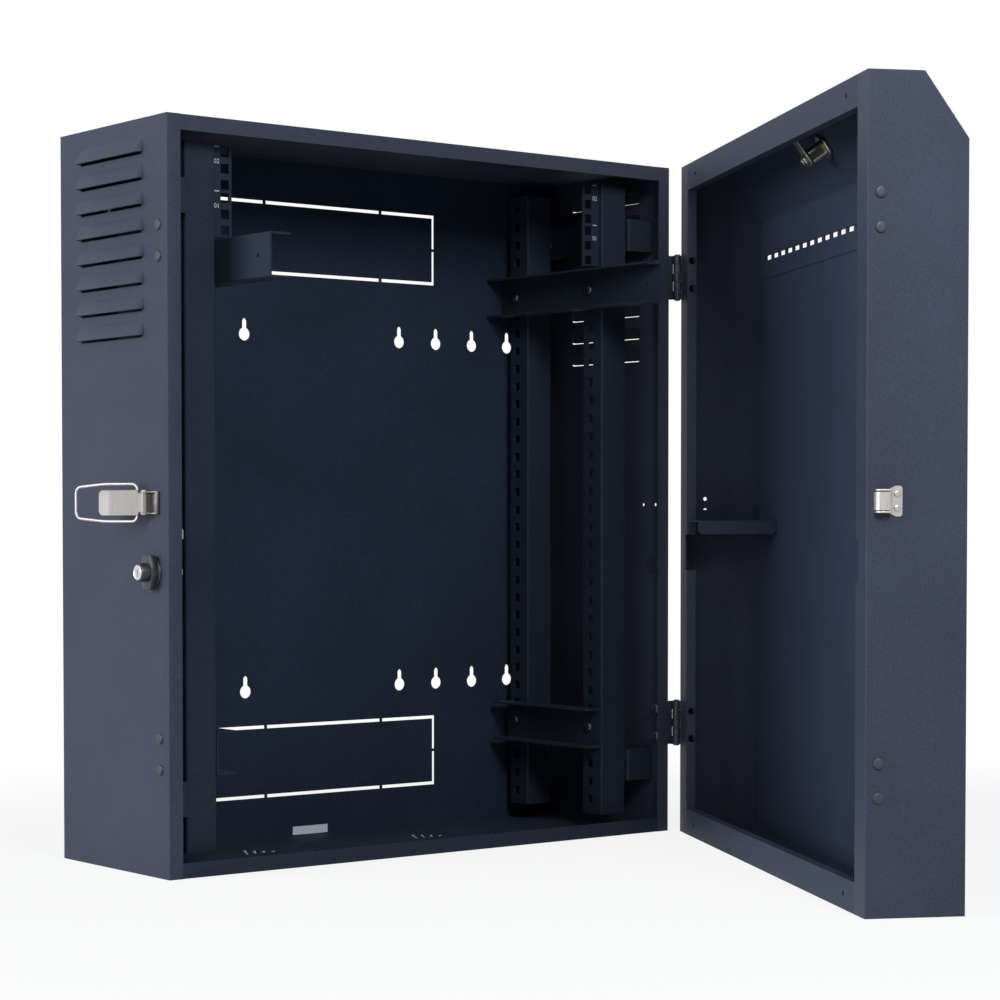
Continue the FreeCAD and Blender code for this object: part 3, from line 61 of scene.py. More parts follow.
# ---------------------------------------------------------------- studio
# A camera level with the cabinet's middle, looking at its left front corner, a pale floor
# that fades out to a white room, and soft boxes, the largest of them on the left.
CAMERA_AT = (-1.5932, -2.3334, -0.0179)
CAMERA_YAW = 38.233
CAMERA_PITCH = -1.841
ROOM_LIGHT = 0.09
FLOOR_LIFT = 0.87
FLOOR_FADE = 1.5
camera = bpy.data.objects.new("studio_camera", bpy.data.cameras.new("studio_camera"))
camera.data.lens = 93.07
camera.data.sensor_width = 36
camera.data.shift_y = 0.1
camera.data.clip_end = 50
camera.location = CAMERA_AT
camera.rotation_euler = (math.radians(90 + CAMERA_PITCH), 0, math.radians(-CAMERA_YAW))
scene.collection.objects.link(camera)
scene.camera = camera


def white_when_seen(tree):
    """One where a camera, glossy or transmission ray looks, and nought for the rest."""
    rays = tree.nodes.new("ShaderNodeLightPath")
    seen = rays.outputs["Is Camera Ray"]
    for kind in ("Is Glossy Ray", "Is Transmission Ray"):
        either = tree.nodes.new("ShaderNodeMath")
        either.operation = "MAXIMUM"
        tree.links.new(seen, either.inputs[0])
        tree.links.new(rays.outputs[kind], either.inputs[1])
        seen = either.outputs[0]
    return seen


room = bpy.data.worlds.new("white_room")
scene.world = room
room.use_nodes = True
tree = room.node_tree
tree.nodes.clear()
out = tree.nodes.new("ShaderNodeOutputWorld")
white = tree.nodes.new("ShaderNodeBackground")
white.inputs["Color"].default_value = (1, 1, 1, 1)
white.inputs["Strength"].default_value = 1
lighting = tree.nodes.new("ShaderNodeBackground")
lighting.inputs["Color"].default_value = (0.58, 0.81, 1.0, 1)
lighting.inputs["Strength"].default_value = ROOM_LIGHT
blend = tree.nodes.new("ShaderNodeMixShader")
tree.links.new(white_when_seen(tree), blend.inputs["Fac"])
tree.links.new(lighting.outputs[0], blend.inputs[1])
tree.links.new(white.outputs[0], blend.inputs[2])
tree.links.new(blend.outputs[0], out.inputs["Surface"])


def soft_box(name, place, aim, size, power, colour):
    """A square lamp that faces a point."""
    lamp = bpy.data.lights.new(name, "AREA")
    lamp.shape = "SQUARE"
    lamp.size = size
    lamp.energy = power
    lamp.color = colour
    lamp_object = bpy.data.objects.new(name, lamp)
    lamp_object.location = place
    lamp_object.rotation_euler = (Vector(aim) - Vector(place)).to_track_quat("-Z", "Y").to_euler()
    scene.collection.objects.link(lamp_object)


soft_box("window_left", (-3.1, 0.45, 0.8), (-0.2, -0.1, 0), 1.8, 79, (0.88, 0.93, 1.0))
soft_box("fill_left", (-2.6, -1.6, 2.2), (0.1, -0.4, 0), 1.4, 5, (0.86, 0.95, 1.0))
soft_box("fill_door", (-0.5, -1.95, 1.0), (0.05, -0.8, 0.2), 0.6, 21, (0.90, 0.96, 1.0))
soft_box("fill_right", (2.6, -2.2, 1.4), (0.2, -0.3, 0), 1.6, 3, (1.0, 0.97, 0.93))

floor_mesh = bpy.data.meshes.new("studio_floor")
grid = bmesh.new()
bmesh.ops.create_grid(grid, x_segments=1, y_segments=1, size=2.6)
bmesh.ops.translate(grid, verts=grid.verts, vec=(0.1, -0.5, cad_box[0][2] - 0.0006))
grid.to_mesh(floor_mesh)
grid.free()
studio_floor = bpy.data.objects.new("studio_floor", floor_mesh)
scene.collection.objects.link(studio_floor)
pale = bpy.data.materials.new("pale_floor")
pale.use_nodes = True
tree = pale.node_tree
tree.nodes.clear()
out = tree.nodes.new("ShaderNodeOutputMaterial")
matt = tree.nodes.new("ShaderNodeBsdfDiffuse")
matt.inputs["Color"].default_value = (0.9, 0.9, 0.9, 1)
glow = tree.nodes.new("ShaderNodeEmission")
glow.inputs["Color"].default_value = (1, 1, 1, 1)
lift = tree.nodes.new("ShaderNodeMath")
lift.operation = "MULTIPLY"
lift.inputs[1].default_value = FLOOR_LIFT
lifted = tree.nodes.new("ShaderNodeMixShader")
under = tree.nodes.new("ShaderNodeTexCoord")
spot = tree.nodes.new("ShaderNodeSeparateXYZ")
tree.links.new(under.outputs["Object"], spot.inputs[0])
beneath = []
for axis, centre, half in (("X", 0.0, 0.30), ("Y", -0.10, 0.09)):
    within = tree.nodes.new("ShaderNodeMath")
    within.operation = "COMPARE"
    within.inputs[1].default_value = centre
    within.inputs[2].default_value = half
    tree.links.new(spot.outputs[axis], within.inputs[0])
    beneath.append(within.outputs[0])
both = tree.nodes.new("ShaderNodeMath")
both.operation = "MULTIPLY"
for socket, flag in zip(both.inputs, beneath):
    tree.links.new(flag, socket)
beside = tree.nodes.new("ShaderNodeMath")
beside.operation = "SUBTRACT"
beside.use_clamp = True
tree.links.new(white_when_seen(tree), beside.inputs[0])
tree.links.new(both.outputs[0], beside.inputs[1])
tree.links.new(beside.outputs[0], lift.inputs[0])
tree.links.new(lift.outputs[0], lifted.inputs["Fac"])
tree.links.new(matt.outputs[0], lifted.inputs[1])
tree.links.new(glow.outputs[0], lifted.inputs[2])
clear = tree.nodes.new("ShaderNodeBsdfTransparent")
where = tree.nodes.new("ShaderNodeTexCoord")
middle = tree.nodes.new("ShaderNodeMapping")
middle.inputs["Location"].default_value = (-0.1 / FLOOR_FADE, 0.45 / FLOOR_FADE, 0)
middle.inputs["Scale"].default_value = (1 / FLOOR_FADE, 1 / FLOOR_FADE, 0)
fade = tree.nodes.new("ShaderNodeTexGradient")
fade.gradient_type = "SPHERICAL"
shade = tree.nodes.new("ShaderNodeMapRange")
shade.inputs["From Max"].default_value = 0.6
shade.interpolation_type = "SMOOTHSTEP"
blend = tree.nodes.new("ShaderNodeMixShader")
tree.links.new(where.outputs["Object"], middle.inputs["Vector"])
tree.links.new(middle.outputs[0], fade.inputs[0])
tree.links.new(fade.outputs["Fac"], shade.inputs["Value"])
tree.links.new(shade.outputs[0], blend.inputs["Fac"])
tree.links.new(clear.outputs[0], blend.inputs[1])
tree.links.new(lifted.outputs[0], blend.inputs[2])
tree.links.new(blend.outputs[0], out.inputs["Surface"])
floor_mesh.materials.append(pale)


# ---------------------------------------------------------------- case walls
# The case is folded from steel sheet and powder coated blue-black. The coat is a fine
# sandy texture with faint clouds of tone, and it shines dully.
def powder_coat(name, colour, roughness, grain=0.00010, gloss=0.14):
    """Textured paint: a sandy bump, with broad faint changes of tone and shine."""
    paint = bpy.data.materials.new(name)
    paint.use_nodes = True
    tree = paint.node_tree
    skin = tree.nodes["Principled BSDF"]
    skin.inputs["Specular IOR Level"].default_value = gloss
    where = tree.nodes.new("ShaderNodeTexCoord")

    cloud = tree.nodes.new("ShaderNodeTexNoise")
    cloud.inputs["Scale"].default_value = 7
    cloud.inputs["Detail"].default_value = 5
    tone = tree.nodes.new("ShaderNodeValToRGB")
    tone.color_ramp.elements[0].position = 0.3
    tone.color_ramp.elements[0].color = (*[c * 0.88 for c in colour], 1)
    tone.color_ramp.elements[1].position = 0.7
    tone.color_ramp.elements[1].color = (*[c * 1.12 for c in colour], 1)
    tree.links.new(where.outputs["Object"], cloud.inputs["Vector"])
    tree.links.new(cloud.outputs["Fac"], tone.inputs["Fac"])

    speck = tree.nodes.new("ShaderNodeTexNoise")
    speck.inputs["Scale"].default_value = 900
    speck.inputs["Detail"].default_value = 2
    dust = tree.nodes.new("ShaderNodeMapRange")
    dust.inputs["From Min"].default_value = 0.3
    dust.inputs["From Max"].default_value = 0.7
    dust.inputs["To Min"].default_value = 0.8
    dust.inputs["To Max"].default_value = 1.25
    tint = tree.nodes.new("ShaderNodeVectorMath")
    tint.operation = "SCALE"
    tree.links.new(where.outputs["Object"], speck.inputs["Vector"])
    tree.links.new(speck.outputs["Fac"], dust.inputs["Value"])
    tree.links.new(tone.outputs["Color"], tint.inputs[0])
    tree.links.new(dust.outputs[0], tint.inputs["Scale"])
    tree.links.new(tint.outputs[0], skin.inputs["Base Color"])

    shine = tree.nodes.new("ShaderNodeMapRange")
    shine.inputs["To Min"].default_value = roughness - 0.06
    shine.inputs["To Max"].default_value = roughness + 0.06
    tree.links.new(cloud.outputs["Fac"], shine.inputs["Value"])
    tree.links.new(shine.outputs[0], skin.inputs["Roughness"])

    sand = tree.nodes.new("ShaderNodeTexVoronoi")
    sand.feature = "SMOOTH_F1"
    sand.inputs["Scale"].default_value = 700
    bump = tree.nodes.new("ShaderNodeBump")
    bump.inputs["Distance"].default_value = grain
    bump.inputs["Strength"].default_value = 0.6
    tree.links.new(where.outputs["Object"], sand.inputs["Vector"])
    tree.links.new(sand.outputs["Distance"], bump.inputs["Height"])
    tree.links.new(bump.outputs[0], skin.inputs["Normal"])
    return paint


def finish_nodes(finish, names):
    """The finish on each CAD node of the list."""
    for name in names:
        mesh = nodes[name].data
        mesh.materials.clear()
        mesh.materials.append(finish)


case_coat = powder_coat("case_powder_coat", (0.051, 0.058, 0.086), 0.52)
finish_nodes(case_coat, ["top_panel"])
# The back panel gets a darker, bluer copy of the same coat: painted shade for the inside of the
# case.
shaded_back_coat = powder_coat("back_coat_painted_shade", (0.026, 0.036, 0.060), 0.58, gloss=0.07)
finish_nodes(shaded_back_coat, ["back_panel"])
# The floor panel gets a darker, bluer copy of the same coat: painted shade for the inside of the
# case.
shaded_floor_coat = powder_coat("floor_coat_painted_shade", (0.030, 0.038, 0.060), 0.58, gloss=0.07)
finish_nodes(shaded_floor_coat, ["floor_panel"])

# ---------------------------------------------------------------- side walls and louvres
# Each side wall is one sheet folded round the front. Eight louvres are pressed out of it
# near the top: the sheet is slit along a lower lip and drawn out into a rounded hood.
SIDE_OUT = 0.31925
SHEET = 0.0015
CASE_DEEP = 0.207
CASE_FRONT = cad_box[1][1] - CASE_DEEP
HALF_HEIGHT = 0.365
FRONT_RETURN = 0.015
HOODS = 8
HOOD_BACK = 0.0445
HOOD_HALF = 0.062
HOOD_HEIGHT = 0.013
HOOD_RISE = 0.006
HOOD_STEP = 0.0251
HOOD_LOW = 0.157
HINGE_LEVEL = 0.2455
HINGE_ROWS = [level * HINGE_LEVEL + end * 0.015 for level in (-1, 1) for end in (-1, 1)]
CASE_SCREW_ROW = CASE_FRONT + 0.0165
LOCK_AT = (CASE_FRONT + 0.026, -0.071)
LATCH_AT = -0.0043
LATCH_RIVET_ROW = (CASE_FRONT + 0.021, CASE_FRONT + 0.041)
SCREW_HOLE, LOCK_HOLE, RIVET_HOLE = 0.0033, 0.0092, 0.002
# outline across and up, depth outwards: a drawing on the wall
ON_WALL = Matrix(((0, 0, 1, 0), (1, 0, 0, 0), (0, 1, 0, 0), (0, 0, 0, 1)))
MIRROR = Matrix.Scale(-1, 4, (1, 0, 0))


def slab(outline, depth, low=0.0):
    """A sheet cut to an outline on XY, from one level along Z to another."""
    form = bmesh.new()
    face = form.faces.new([form.verts.new((u, v, low)) for u, v in outline])
    risen = bmesh.ops.extrude_face_region(form, geom=[face])
    top = [part for part in risen["geom"] if isinstance(part, bmesh.types.BMVert)]
    bmesh.ops.translate(form, verts=top, vec=(0, 0, depth))
    bmesh.ops.recalc_face_normals(form, faces=form.faces)
    return form


def block(low, high):
    """A plain block between two corners."""
    (x1, y1, z1), (x2, y2, z2) = low, high
    return slab([(x1, y1), (x2, y1), (x2, y2), (x1, y2)], z2 - z1, z1)


def rod(radius, length, sides=32):
    """A round bar along Z, centred on its origin."""
    bar = bmesh.new()
    bmesh.ops.create_cone(bar, cap_ends=True, segments=sides, radius1=radius, radius2=radius,
                          depth=length)
    return bar


def rounded(form, offset, chosen=None, steps=2):
    """The form with its edges rounded, all of them or those that the test picks."""
    edges = [edge for edge in form.edges
             if chosen is None or chosen(*[vert.co for vert in edge.verts])]
    bmesh.ops.bevel(form, geom=edges, offset=offset, offset_type="OFFSET", affect="EDGES",
                    segments=steps, profile=0.5, material=-1, clamp_overlap=True)
    return form


def join(group, form, *places):
    """A copy of the form at each place, added to a group."""
    for place in places or (Matrix(),):
        copy = form.copy()
        copy.transform(place)
        rough = bpy.data.meshes.new("rough")
        copy.to_mesh(rough)
        copy.free()
        group.from_mesh(rough)
        bpy.data.meshes.remove(rough)
    form.free()
    return group


def punched(form, cutter):
    """The form with the cutter's shapes taken out of it."""
    pair = []
    for name, shape in (("blank", form), ("punch", cutter)):
        shape.normal_update()
        bmesh.ops.recalc_face_normals(shape, faces=shape.faces)
        mesh = bpy.data.meshes.new(name)
        shape.to_mesh(mesh)
        shape.free()
        pair.append(bpy.data.objects.new(name, mesh))
        scene.collection.objects.link(pair[-1])
    bite = pair[0].modifiers.new("bite", "BOOLEAN")
    bite.object = pair[1]
    bite.operation = "DIFFERENCE"
    bite.solver = "EXACT"
    bite.use_self = True
    bpy.context.view_layer.update()
    worked_out = pair[0].evaluated_get(bpy.context.evaluated_depsgraph_get())
    cut = bpy.data.meshes.new_from_object(worked_out)
    result = bmesh.new()
    result.from_mesh(cut)
    bmesh.ops.dissolve_degenerate(result, dist=1e-7, edges=result.edges)
    for mesh in (cut, pair[0].data, pair[1].data):
        bpy.data.meshes.remove(mesh)
    return result


def settle(name, form, finish, body, slot, *stands_for, crisp=35):
    """The finished form as a piece that rides on its body."""
    form.normal_update()
    bmesh.ops.recalc_face_normals(form, faces=form.faces)
    mesh = bpy.data.meshes.new(name)
    form.to_mesh(mesh)
    form.free()
    mesh.shade_smooth()
    mesh.set_sharp_from_angle(angle=math.radians(crisp))
    mesh.materials.append(finish)
    piece = bpy.data.objects.new(name, mesh)
    scene.collection.objects.link(piece)
    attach(piece, body)
    if stands_for:
        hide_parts(*stands_for)


def louvre_hood():
    """A hood drawn along X and up Y, out along Z: highest at its lower lip, which is open."""
    hood = block((-HOOD_HALF, -0.02, -HOOD_RISE), (HOOD_HALF, 0.02, HOOD_RISE))
    rounded(hood, 0.006, lambda a, b: abs(a.z - b.z) > 1e-5, 4)
    rounded(hood, 0.0038, lambda a, b: min(a.z, b.z) > HOOD_RISE - 1e-5, 4)
    hood.transform(Matrix.Rotation(-math.atan2(HOOD_RISE, HOOD_HEIGHT), 4, "X"))
    for point, normal in (((0, 0, 0), (0, 1, 0)), ((0, 0, 0), (0, 0, 1))):
        bmesh.ops.bisect_plane(hood, geom=hood.verts[:] + hood.edges[:] + hood.faces[:], dist=1e-7,
                               plane_co=point, plane_no=normal, clear_inner=True)
    bmesh.ops.recalc_face_normals(hood, faces=hood.faces)
    bmesh.ops.solidify(hood, geom=hood.faces, thickness=0.0012)
    return hood


def on_fold(a, b):
    """Whether an edge runs along the wall's front fold."""
    return all(abs(end.x - SIDE_OUT) + abs(end.y - CASE_FRONT) < 1e-5 for end in (a, b))


for side, hand in (("left", MIRROR), ("right", Matrix())):
    fold = [(SIDE_OUT, 0), (SIDE_OUT, CASE_FRONT), (SIDE_OUT - FRONT_RETURN, CASE_FRONT),
            (SIDE_OUT - FRONT_RETURN, CASE_FRONT + SHEET),
            (SIDE_OUT - SHEET, CASE_FRONT + SHEET), (SIDE_OUT - SHEET, 0)]
    wall = slab(fold, 2 * HALF_HEIGHT, -HALF_HEIGHT)
    rounded(wall, 0.0012, on_fold, 3)
    punch = bmesh.new()
    hoods = bmesh.new()
    hood_row = CASE_FRONT + HOOD_BACK + HOOD_HALF
    hood_places = [Matrix.Translation((SIDE_OUT, hood_row, HOOD_LOW + step * HOOD_STEP)) @ ON_WALL
                   for step in range(HOODS)]
    mouth = [(-0.0575, -0.0020), (0.0575, -0.0020), (0.0600, 0.0003), (0.0590, 0.0080),
             (0.0560, 0.0112), (-0.0560, 0.0112), (-0.0590, 0.0080), (-0.0600, 0.0003)]
    join(punch, slab(mouth, 0.006, -0.003), *hood_places)
    join(hoods, louvre_hood(), *hood_places)
    holes = [(CASE_SCREW_ROW, z, SCREW_HOLE) for z in HINGE_ROWS] + [(*LOCK_AT, LOCK_HOLE)]
    holes += [(y, LATCH_AT, RIVET_HOLE) for y in LATCH_RIVET_ROW]
    for y, z, radius in holes:
        join(punch, rod(radius, 0.006), Matrix.Translation((SIDE_OUT, y, z)) @ ON_WALL)
    wall = punched(wall, punch)
    join(wall, hoods)
    wall.transform(hand)
    settle(f"side_wall_{side}", wall, case_coat, "case", "cabinet_paint",
           f"side_panel_{side}", crisp=30)

# ---------------------------------------------------------------- blank label
# A small white vinyl label at the foot of the back panel, with nothing printed on it.
vinyl = bpy.data.materials.new("white_vinyl")
vinyl.use_nodes = True
tree = vinyl.node_tree
film = tree.nodes["Principled BSDF"]
film.inputs["Roughness"].default_value = 0.35
where = tree.nodes.new("ShaderNodeTexCoord")
mottle = tree.nodes.new("ShaderNodeTexNoise")
mottle.inputs["Scale"].default_value = 300
soil = tree.nodes.new("ShaderNodeValToRGB")
soil.color_ramp.elements[0].color = (0.84, 0.89, 0.96, 1)
soil.color_ramp.elements[1].color = (0.90, 0.94, 0.98, 1)
tree.links.new(where.outputs["Object"], mottle.inputs["Vector"])
tree.links.new(mottle.outputs["Fac"], soil.inputs["Fac"])
tree.links.new(soil.outputs["Color"], film.inputs["Base Color"])
label = rounded(block((-0.042, -SHEET - 0.0003, -0.3625), (0.0035, -SHEET, -0.3535)), 0.0004,
                lambda a, b: abs(a.x - b.x) < 1e-6 and abs(a.z - b.z) < 1e-6, 3)
settle("blank_label", label, vinyl, "case", "cabinet_paint")

# ---------------------------------------------------------------- door
# The door is a deep tray with a sloped top edge, welded from folded sheet and coated like
# the case. Its front sheet, the vent backing and the gusset inside it share a darker, bluer copy of
# that coat: painted shade for the inside of the tray.
door_coat = powder_coat("door_powder_coat", (0.051, 0.058, 0.086), 0.52)
finish_nodes(door_coat, ["door_side_free", "door_side_hinge"])
# Darker, bluer copy of the door coat: painted shade for the inside of the tray.
shaded_tray_coat = powder_coat("door_tray_coat_painted_shade", (0.044, 0.055, 0.088), 0.55, gloss=0.1)
finish_nodes(shaded_tray_coat, ["door_front", "vent_cover", "door_gusset"])

# ---------------------------------------------------------------- rails, bars and channels
# Bent steel strip inside the case, with the same coat in a darker, smoother copy: the darkness is
# painted shade for the inside of the case.
shaded_rail_coat = powder_coat("rail_coat_painted_shade", (0.025, 0.032, 0.050), 0.5, 0.00006, 0.1)
finish_nodes(shaded_rail_coat, [name for name in nodes
                         if name.startswith(("rail_front", "rail_rear", "side_bar", "channel_upper",
                                             "channel_lower", "unit_strip"))])

# ---------------------------------------------------------------- unit marks
# White screen print on the front of each unit strip: a tick at each unit and its number,
# counted upwards, beside the square holes.
ink = bpy.data.materials.new("white_print")
ink.use_nodes = True
tree = ink.node_tree
film = tree.nodes["Principled BSDF"]
film.inputs["Roughness"].default_value = 0.6
where = tree.nodes.new("ShaderNodeTexCoord")
mottle = tree.nodes.new("ShaderNodeTexNoise")
mottle.inputs["Scale"].default_value = 900
wear = tree.nodes.new("ShaderNodeValToRGB")
wear.color_ramp.elements[0].color = (0.42, 0.46, 0.52, 1)
wear.color_ramp.elements[1].color = (0.82, 0.88, 0.95, 1)
tree.links.new(where.outputs["Object"], mottle.inputs["Vector"])
tree.links.new(mottle.outputs["Fac"], wear.inputs["Fac"])
tree.links.new(wear.outputs["Color"], film.inputs["Base Color"])

UNIT = 0.04445
PRINT_OUT = 0.2418
PRINT_DROP = 0.0145
PRINT_THICK = 0.00006
FIGURE_SIZE = 0.0066
TICK_WIDE, TICK_HIGH = 0.00275, 0.00055
TOP_TICK_DROP = 0.0012


def printed_number(name, words, centre, size):
    """Figures as a thin film that faces the front."""
    curve = bpy.data.curves.new(name, "FONT")
    curve.body = words
    curve.size = size
    curve.align_x = "CENTER"
    curve.align_y = "CENTER"
    curve.extrude = PRINT_THICK / 2
    lettering = bpy.data.objects.new(name + "_curve", curve)
    scene.collection.objects.link(lettering)
    bpy.context.view_layer.update()
    mesh = bpy.data.meshes.new_from_object(lettering)
    bpy.data.objects.remove(lettering)
    figures = bmesh.new()
    figures.from_mesh(mesh)
    bmesh.ops.remove_doubles(figures, verts=figures.verts, dist=1e-7)
    bpy.data.meshes.remove(mesh)
    figures.transform(Matrix.Translation(centre) @ Matrix.Rotation(math.radians(90), 4, "X"))
    settle(name, figures, ink, "case", "rail_paint")


for side, hand in (("left", -1), ("right", 1)):
    low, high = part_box(f"unit_strip_{side}")
    front = low.y - PRINT_THICK / 2
    for unit in (1, 2):
        top = high.z - (2 - unit) * UNIT - (TOP_TICK_DROP if unit == 2 else 0)
        printed_number(f"unit_number_{side}_{unit}", f"{unit:02d}",
                       (hand * PRINT_OUT, front, top - PRINT_DROP), FIGURE_SIZE)
        tick = block((hand * PRINT_OUT - TICK_WIDE, front - PRINT_THICK / 2, top - TICK_HIGH),
                     (hand * PRINT_OUT + TICK_WIDE, front + PRINT_THICK / 2, top + TICK_HIGH))
        settle(f"unit_tick_{side}_{unit}", tick, ink, "case", "rail_paint")


# ---------------------------------------------------------------- bolts, screws and nuts
# Zinc plated M6 pan heads with a cross recess, and hexagon nuts. They bolt the channels to
# the rails' square holes and the rails to the slots of the side bars.
def plated_steel(name, colour, roughness):
    """Plated metal with fine lines along Z and clouded shine."""
    metal = bpy.data.materials.new(name)
    metal.use_nodes = True
    tree = metal.node_tree
    skin = tree.nodes["Principled BSDF"]
    skin.inputs["Metallic"].default_value = 1
    where = tree.nodes.new("ShaderNodeTexCoord")
    stretch = tree.nodes.new("ShaderNodeMapping")
    stretch.inputs["Scale"].default_value = (900, 900, 40)
    grain = tree.nodes.new("ShaderNodeTexNoise")
    grain.inputs["Scale"].default_value = 1
    grain.inputs["Detail"].default_value = 4
    tree.links.new(where.outputs["Object"], stretch.inputs["Vector"])
    tree.links.new(stretch.outputs[0], grain.inputs["Vector"])
    tone = tree.nodes.new("ShaderNodeValToRGB")
    tone.color_ramp.elements[0].position = 0.25
    tone.color_ramp.elements[0].color = (*[c * 0.75 for c in colour], 1)
    tone.color_ramp.elements[1].position = 0.75
    tone.color_ramp.elements[1].color = (*colour, 1)
    tree.links.new(grain.outputs["Fac"], tone.inputs["Fac"])
    tree.links.new(tone.outputs["Color"], skin.inputs["Base Color"])
    shine = tree.nodes.new("ShaderNodeMapRange")
    shine.inputs["To Min"].default_value = roughness - 0.08
    shine.inputs["To Max"].default_value = roughness + 0.12
    tree.links.new(grain.outputs["Fac"], shine.inputs["Value"])
    tree.links.new(shine.outputs[0], skin.inputs["Roughness"])
    bump = tree.nodes.new("ShaderNodeBump")
    bump.inputs["Distance"].default_value = 0.00003
    bump.inputs["Strength"].default_value = 0.4
    tree.links.new(grain.outputs["Fac"], bump.inputs["Height"])
    tree.links.new(bump.outputs[0], skin.inputs["Normal"])
    return metal


def turned(profile, steps=32, closed=False):
    """A form turned about Z from (radius, level) points."""
    form = bmesh.new()
    line = [form.verts.new((radius, 0, level)) for radius, level in profile]
    edges = [form.edges.new(pair) for pair in zip(line, line[1:])]
    if closed:
        edges.append(form.edges.new((line[-1], line[0])))
    bmesh.ops.spin(form, geom=line + edges, cent=(0, 0, 0), axis=(0, 0, 1), angle=2 * math.pi,
                   steps=steps, use_merge=True)
    bmesh.ops.remove_doubles(form, verts=form.verts, dist=1e-6)
    bmesh.ops.recalc_face_normals(form, faces=form.faces)
    return form


def facing(point, direction):
    """A place at a point, with Z turned to the direction."""
    turn = Vector(direction).to_track_quat("Z", "Y").to_matrix().to_4x4()
    return Matrix.Translation(point) @ turn


def pan_screw():
    """An M6 screw whose head stands on Z zero, with a cross recess."""
    screw = turned([(0, -0.014), (0.0026, -0.014), (0.003, -0.0134), (0.003, 0), (0.0058, 0),
                    (0.0058, 0.0013), (0.0054, 0.0023), (0.0045, 0.0029), (0.003, 0.00325),
                    (0, 0.0034)])
    cross = bmesh.new()
    for quarter in (0, 90):
        join(cross, block((-0.0029, -0.00055, 0.0016), (0.0029, 0.00055, 0.005)),
             Matrix.Rotation(math.radians(quarter), 4, "Z"))
    return punched(screw, cross)


def hexagon_nut(flats, height, bore):
    """A nut from Z zero up, with its corners eased."""
    nut = rod(flats / 2 / math.cos(math.pi / 6), height, 6)
    bmesh.ops.translate(nut, verts=nut.verts, vec=(0, 0, height / 2))
    rounded(nut, 0.0004, steps=1)
    return punched(nut, rod(bore, height * 3))


zinc = plated_steel("zinc_plate", (0.42, 0.43, 0.45), 0.40)
dark_zinc = plated_steel("dark_zinc_plate", (0.11, 0.12, 0.14), 0.42)
M6_NUT = (0.010, 0.0048, 0.00305)
RAIL_ROWS = (CASE_FRONT + 0.030, CASE_FRONT + 0.159)
CHANNEL_LEVELS = (0.2305, -0.2495)
CHANNEL_IN, CHANNEL_OUT, CHANNEL_BACK = 0.2455, 0.2495, 0.0195
BAR_LEVELS = (-0.2918, 0.2918)
BAR_IN, BAR_OUT, BAR_BACK = 0.2797, 0.2837, 0.011
web_screws, web_nuts, bar_bolts, bar_nuts = [], [], [], []
for hand in (-1, 1):
    for row in RAIL_ROWS:
        for level in CHANNEL_LEVELS:
            web_screws.append(facing((hand * CHANNEL_IN, row + CHANNEL_BACK, level), (-hand, 0, 0)))
            web_nuts.append(facing((hand * CHANNEL_OUT, row + CHANNEL_BACK, level), (hand, 0, 0)))
        for level in BAR_LEVELS:
            bar_bolts.append(facing((hand * BAR_IN, row + BAR_BACK, level), (-hand, 0, 0)))
            bar_nuts.append(facing((hand * BAR_OUT, row + BAR_BACK, level), (hand, 0, 0)))
for name, form, plate, places in (("channel_screws", pan_screw(), dark_zinc, web_screws),
                                  ("rail_bolts", pan_screw(), dark_zinc, bar_bolts),
                                  ("channel_nuts", hexagon_nut(*M6_NUT), zinc, web_nuts),
                                  ("rail_nuts", hexagon_nut(*M6_NUT), zinc, bar_nuts)):
    settle(name + "_plated", join(bmesh.new(), form, *places), plate, "case", "zinc", name)

# ---------------------------------------------------------------- hinges
# Two butt hinges of black coated steel on the right: a cranked leaf on the case, one on
# the door, five knuckles and a pin with pressed heads, held by black screws.
HINGE_AXIS = (SIDE_OUT + 0.0105, CASE_FRONT - 0.0015)
HINGE_HALF = 0.024
KNUCKLE = 0.0096
KNUCKLE_GAP = 0.00015
LEAF = 0.002
DOOR_ANGLE = math.radians(62.2)
DOOR_SWING = (Matrix.Translation((*HINGE_AXIS, 0)) @ Matrix.Rotation(DOOR_ANGLE, 4, "Z")
              @ Matrix.Translation((-HINGE_AXIS[0], -HINGE_AXIS[1], 0)))
hinge_black = powder_coat("hinge_black", (0.034, 0.041, 0.056), 0.36, 0.00003, 0.4)


def hinge_leaf(middle, direction, edge, knuckles):
    """A leaf flat on the wall, cranked out to its rolled knuckles."""
    def at(distance):
        return HINGE_AXIS[1] + direction * distance

    step = SIDE_OUT + 0.006
    crank = [(SIDE_OUT, at(edge)), (SIDE_OUT, at(0.0064)), (step, at(0.0042)),
             (step + LEAF, at(0.0040)), (step + LEAF, at(0.0058)),
             (SIDE_OUT + LEAF, at(0.0073)), (SIDE_OUT + LEAF, at(edge))]
    leaf = rounded(slab(crank, 2 * HINGE_HALF, middle - HINGE_HALF), 0.0003)
    for number in knuckles:
        low = middle - HINGE_HALF + number * KNUCKLE + (KNUCKLE_GAP if number else 0)
        high = middle - HINGE_HALF + (number + 1) * KNUCKLE - (KNUCKLE_GAP if number < 4 else 0)
        web = sorted((at(0), at(0.0051)))
        join(leaf, block((step, web[0], low), (step + LEAF, web[1], high)))
        ring = turned([(0.00232, low), (0.0043, low), (0.0045, low + 0.0002),
                       (0.0045, high - 0.0002), (0.0043, high), (0.00232, high)], closed=True)
        join(leaf, ring, Matrix.Translation((*HINGE_AXIS, 0)))
    return leaf


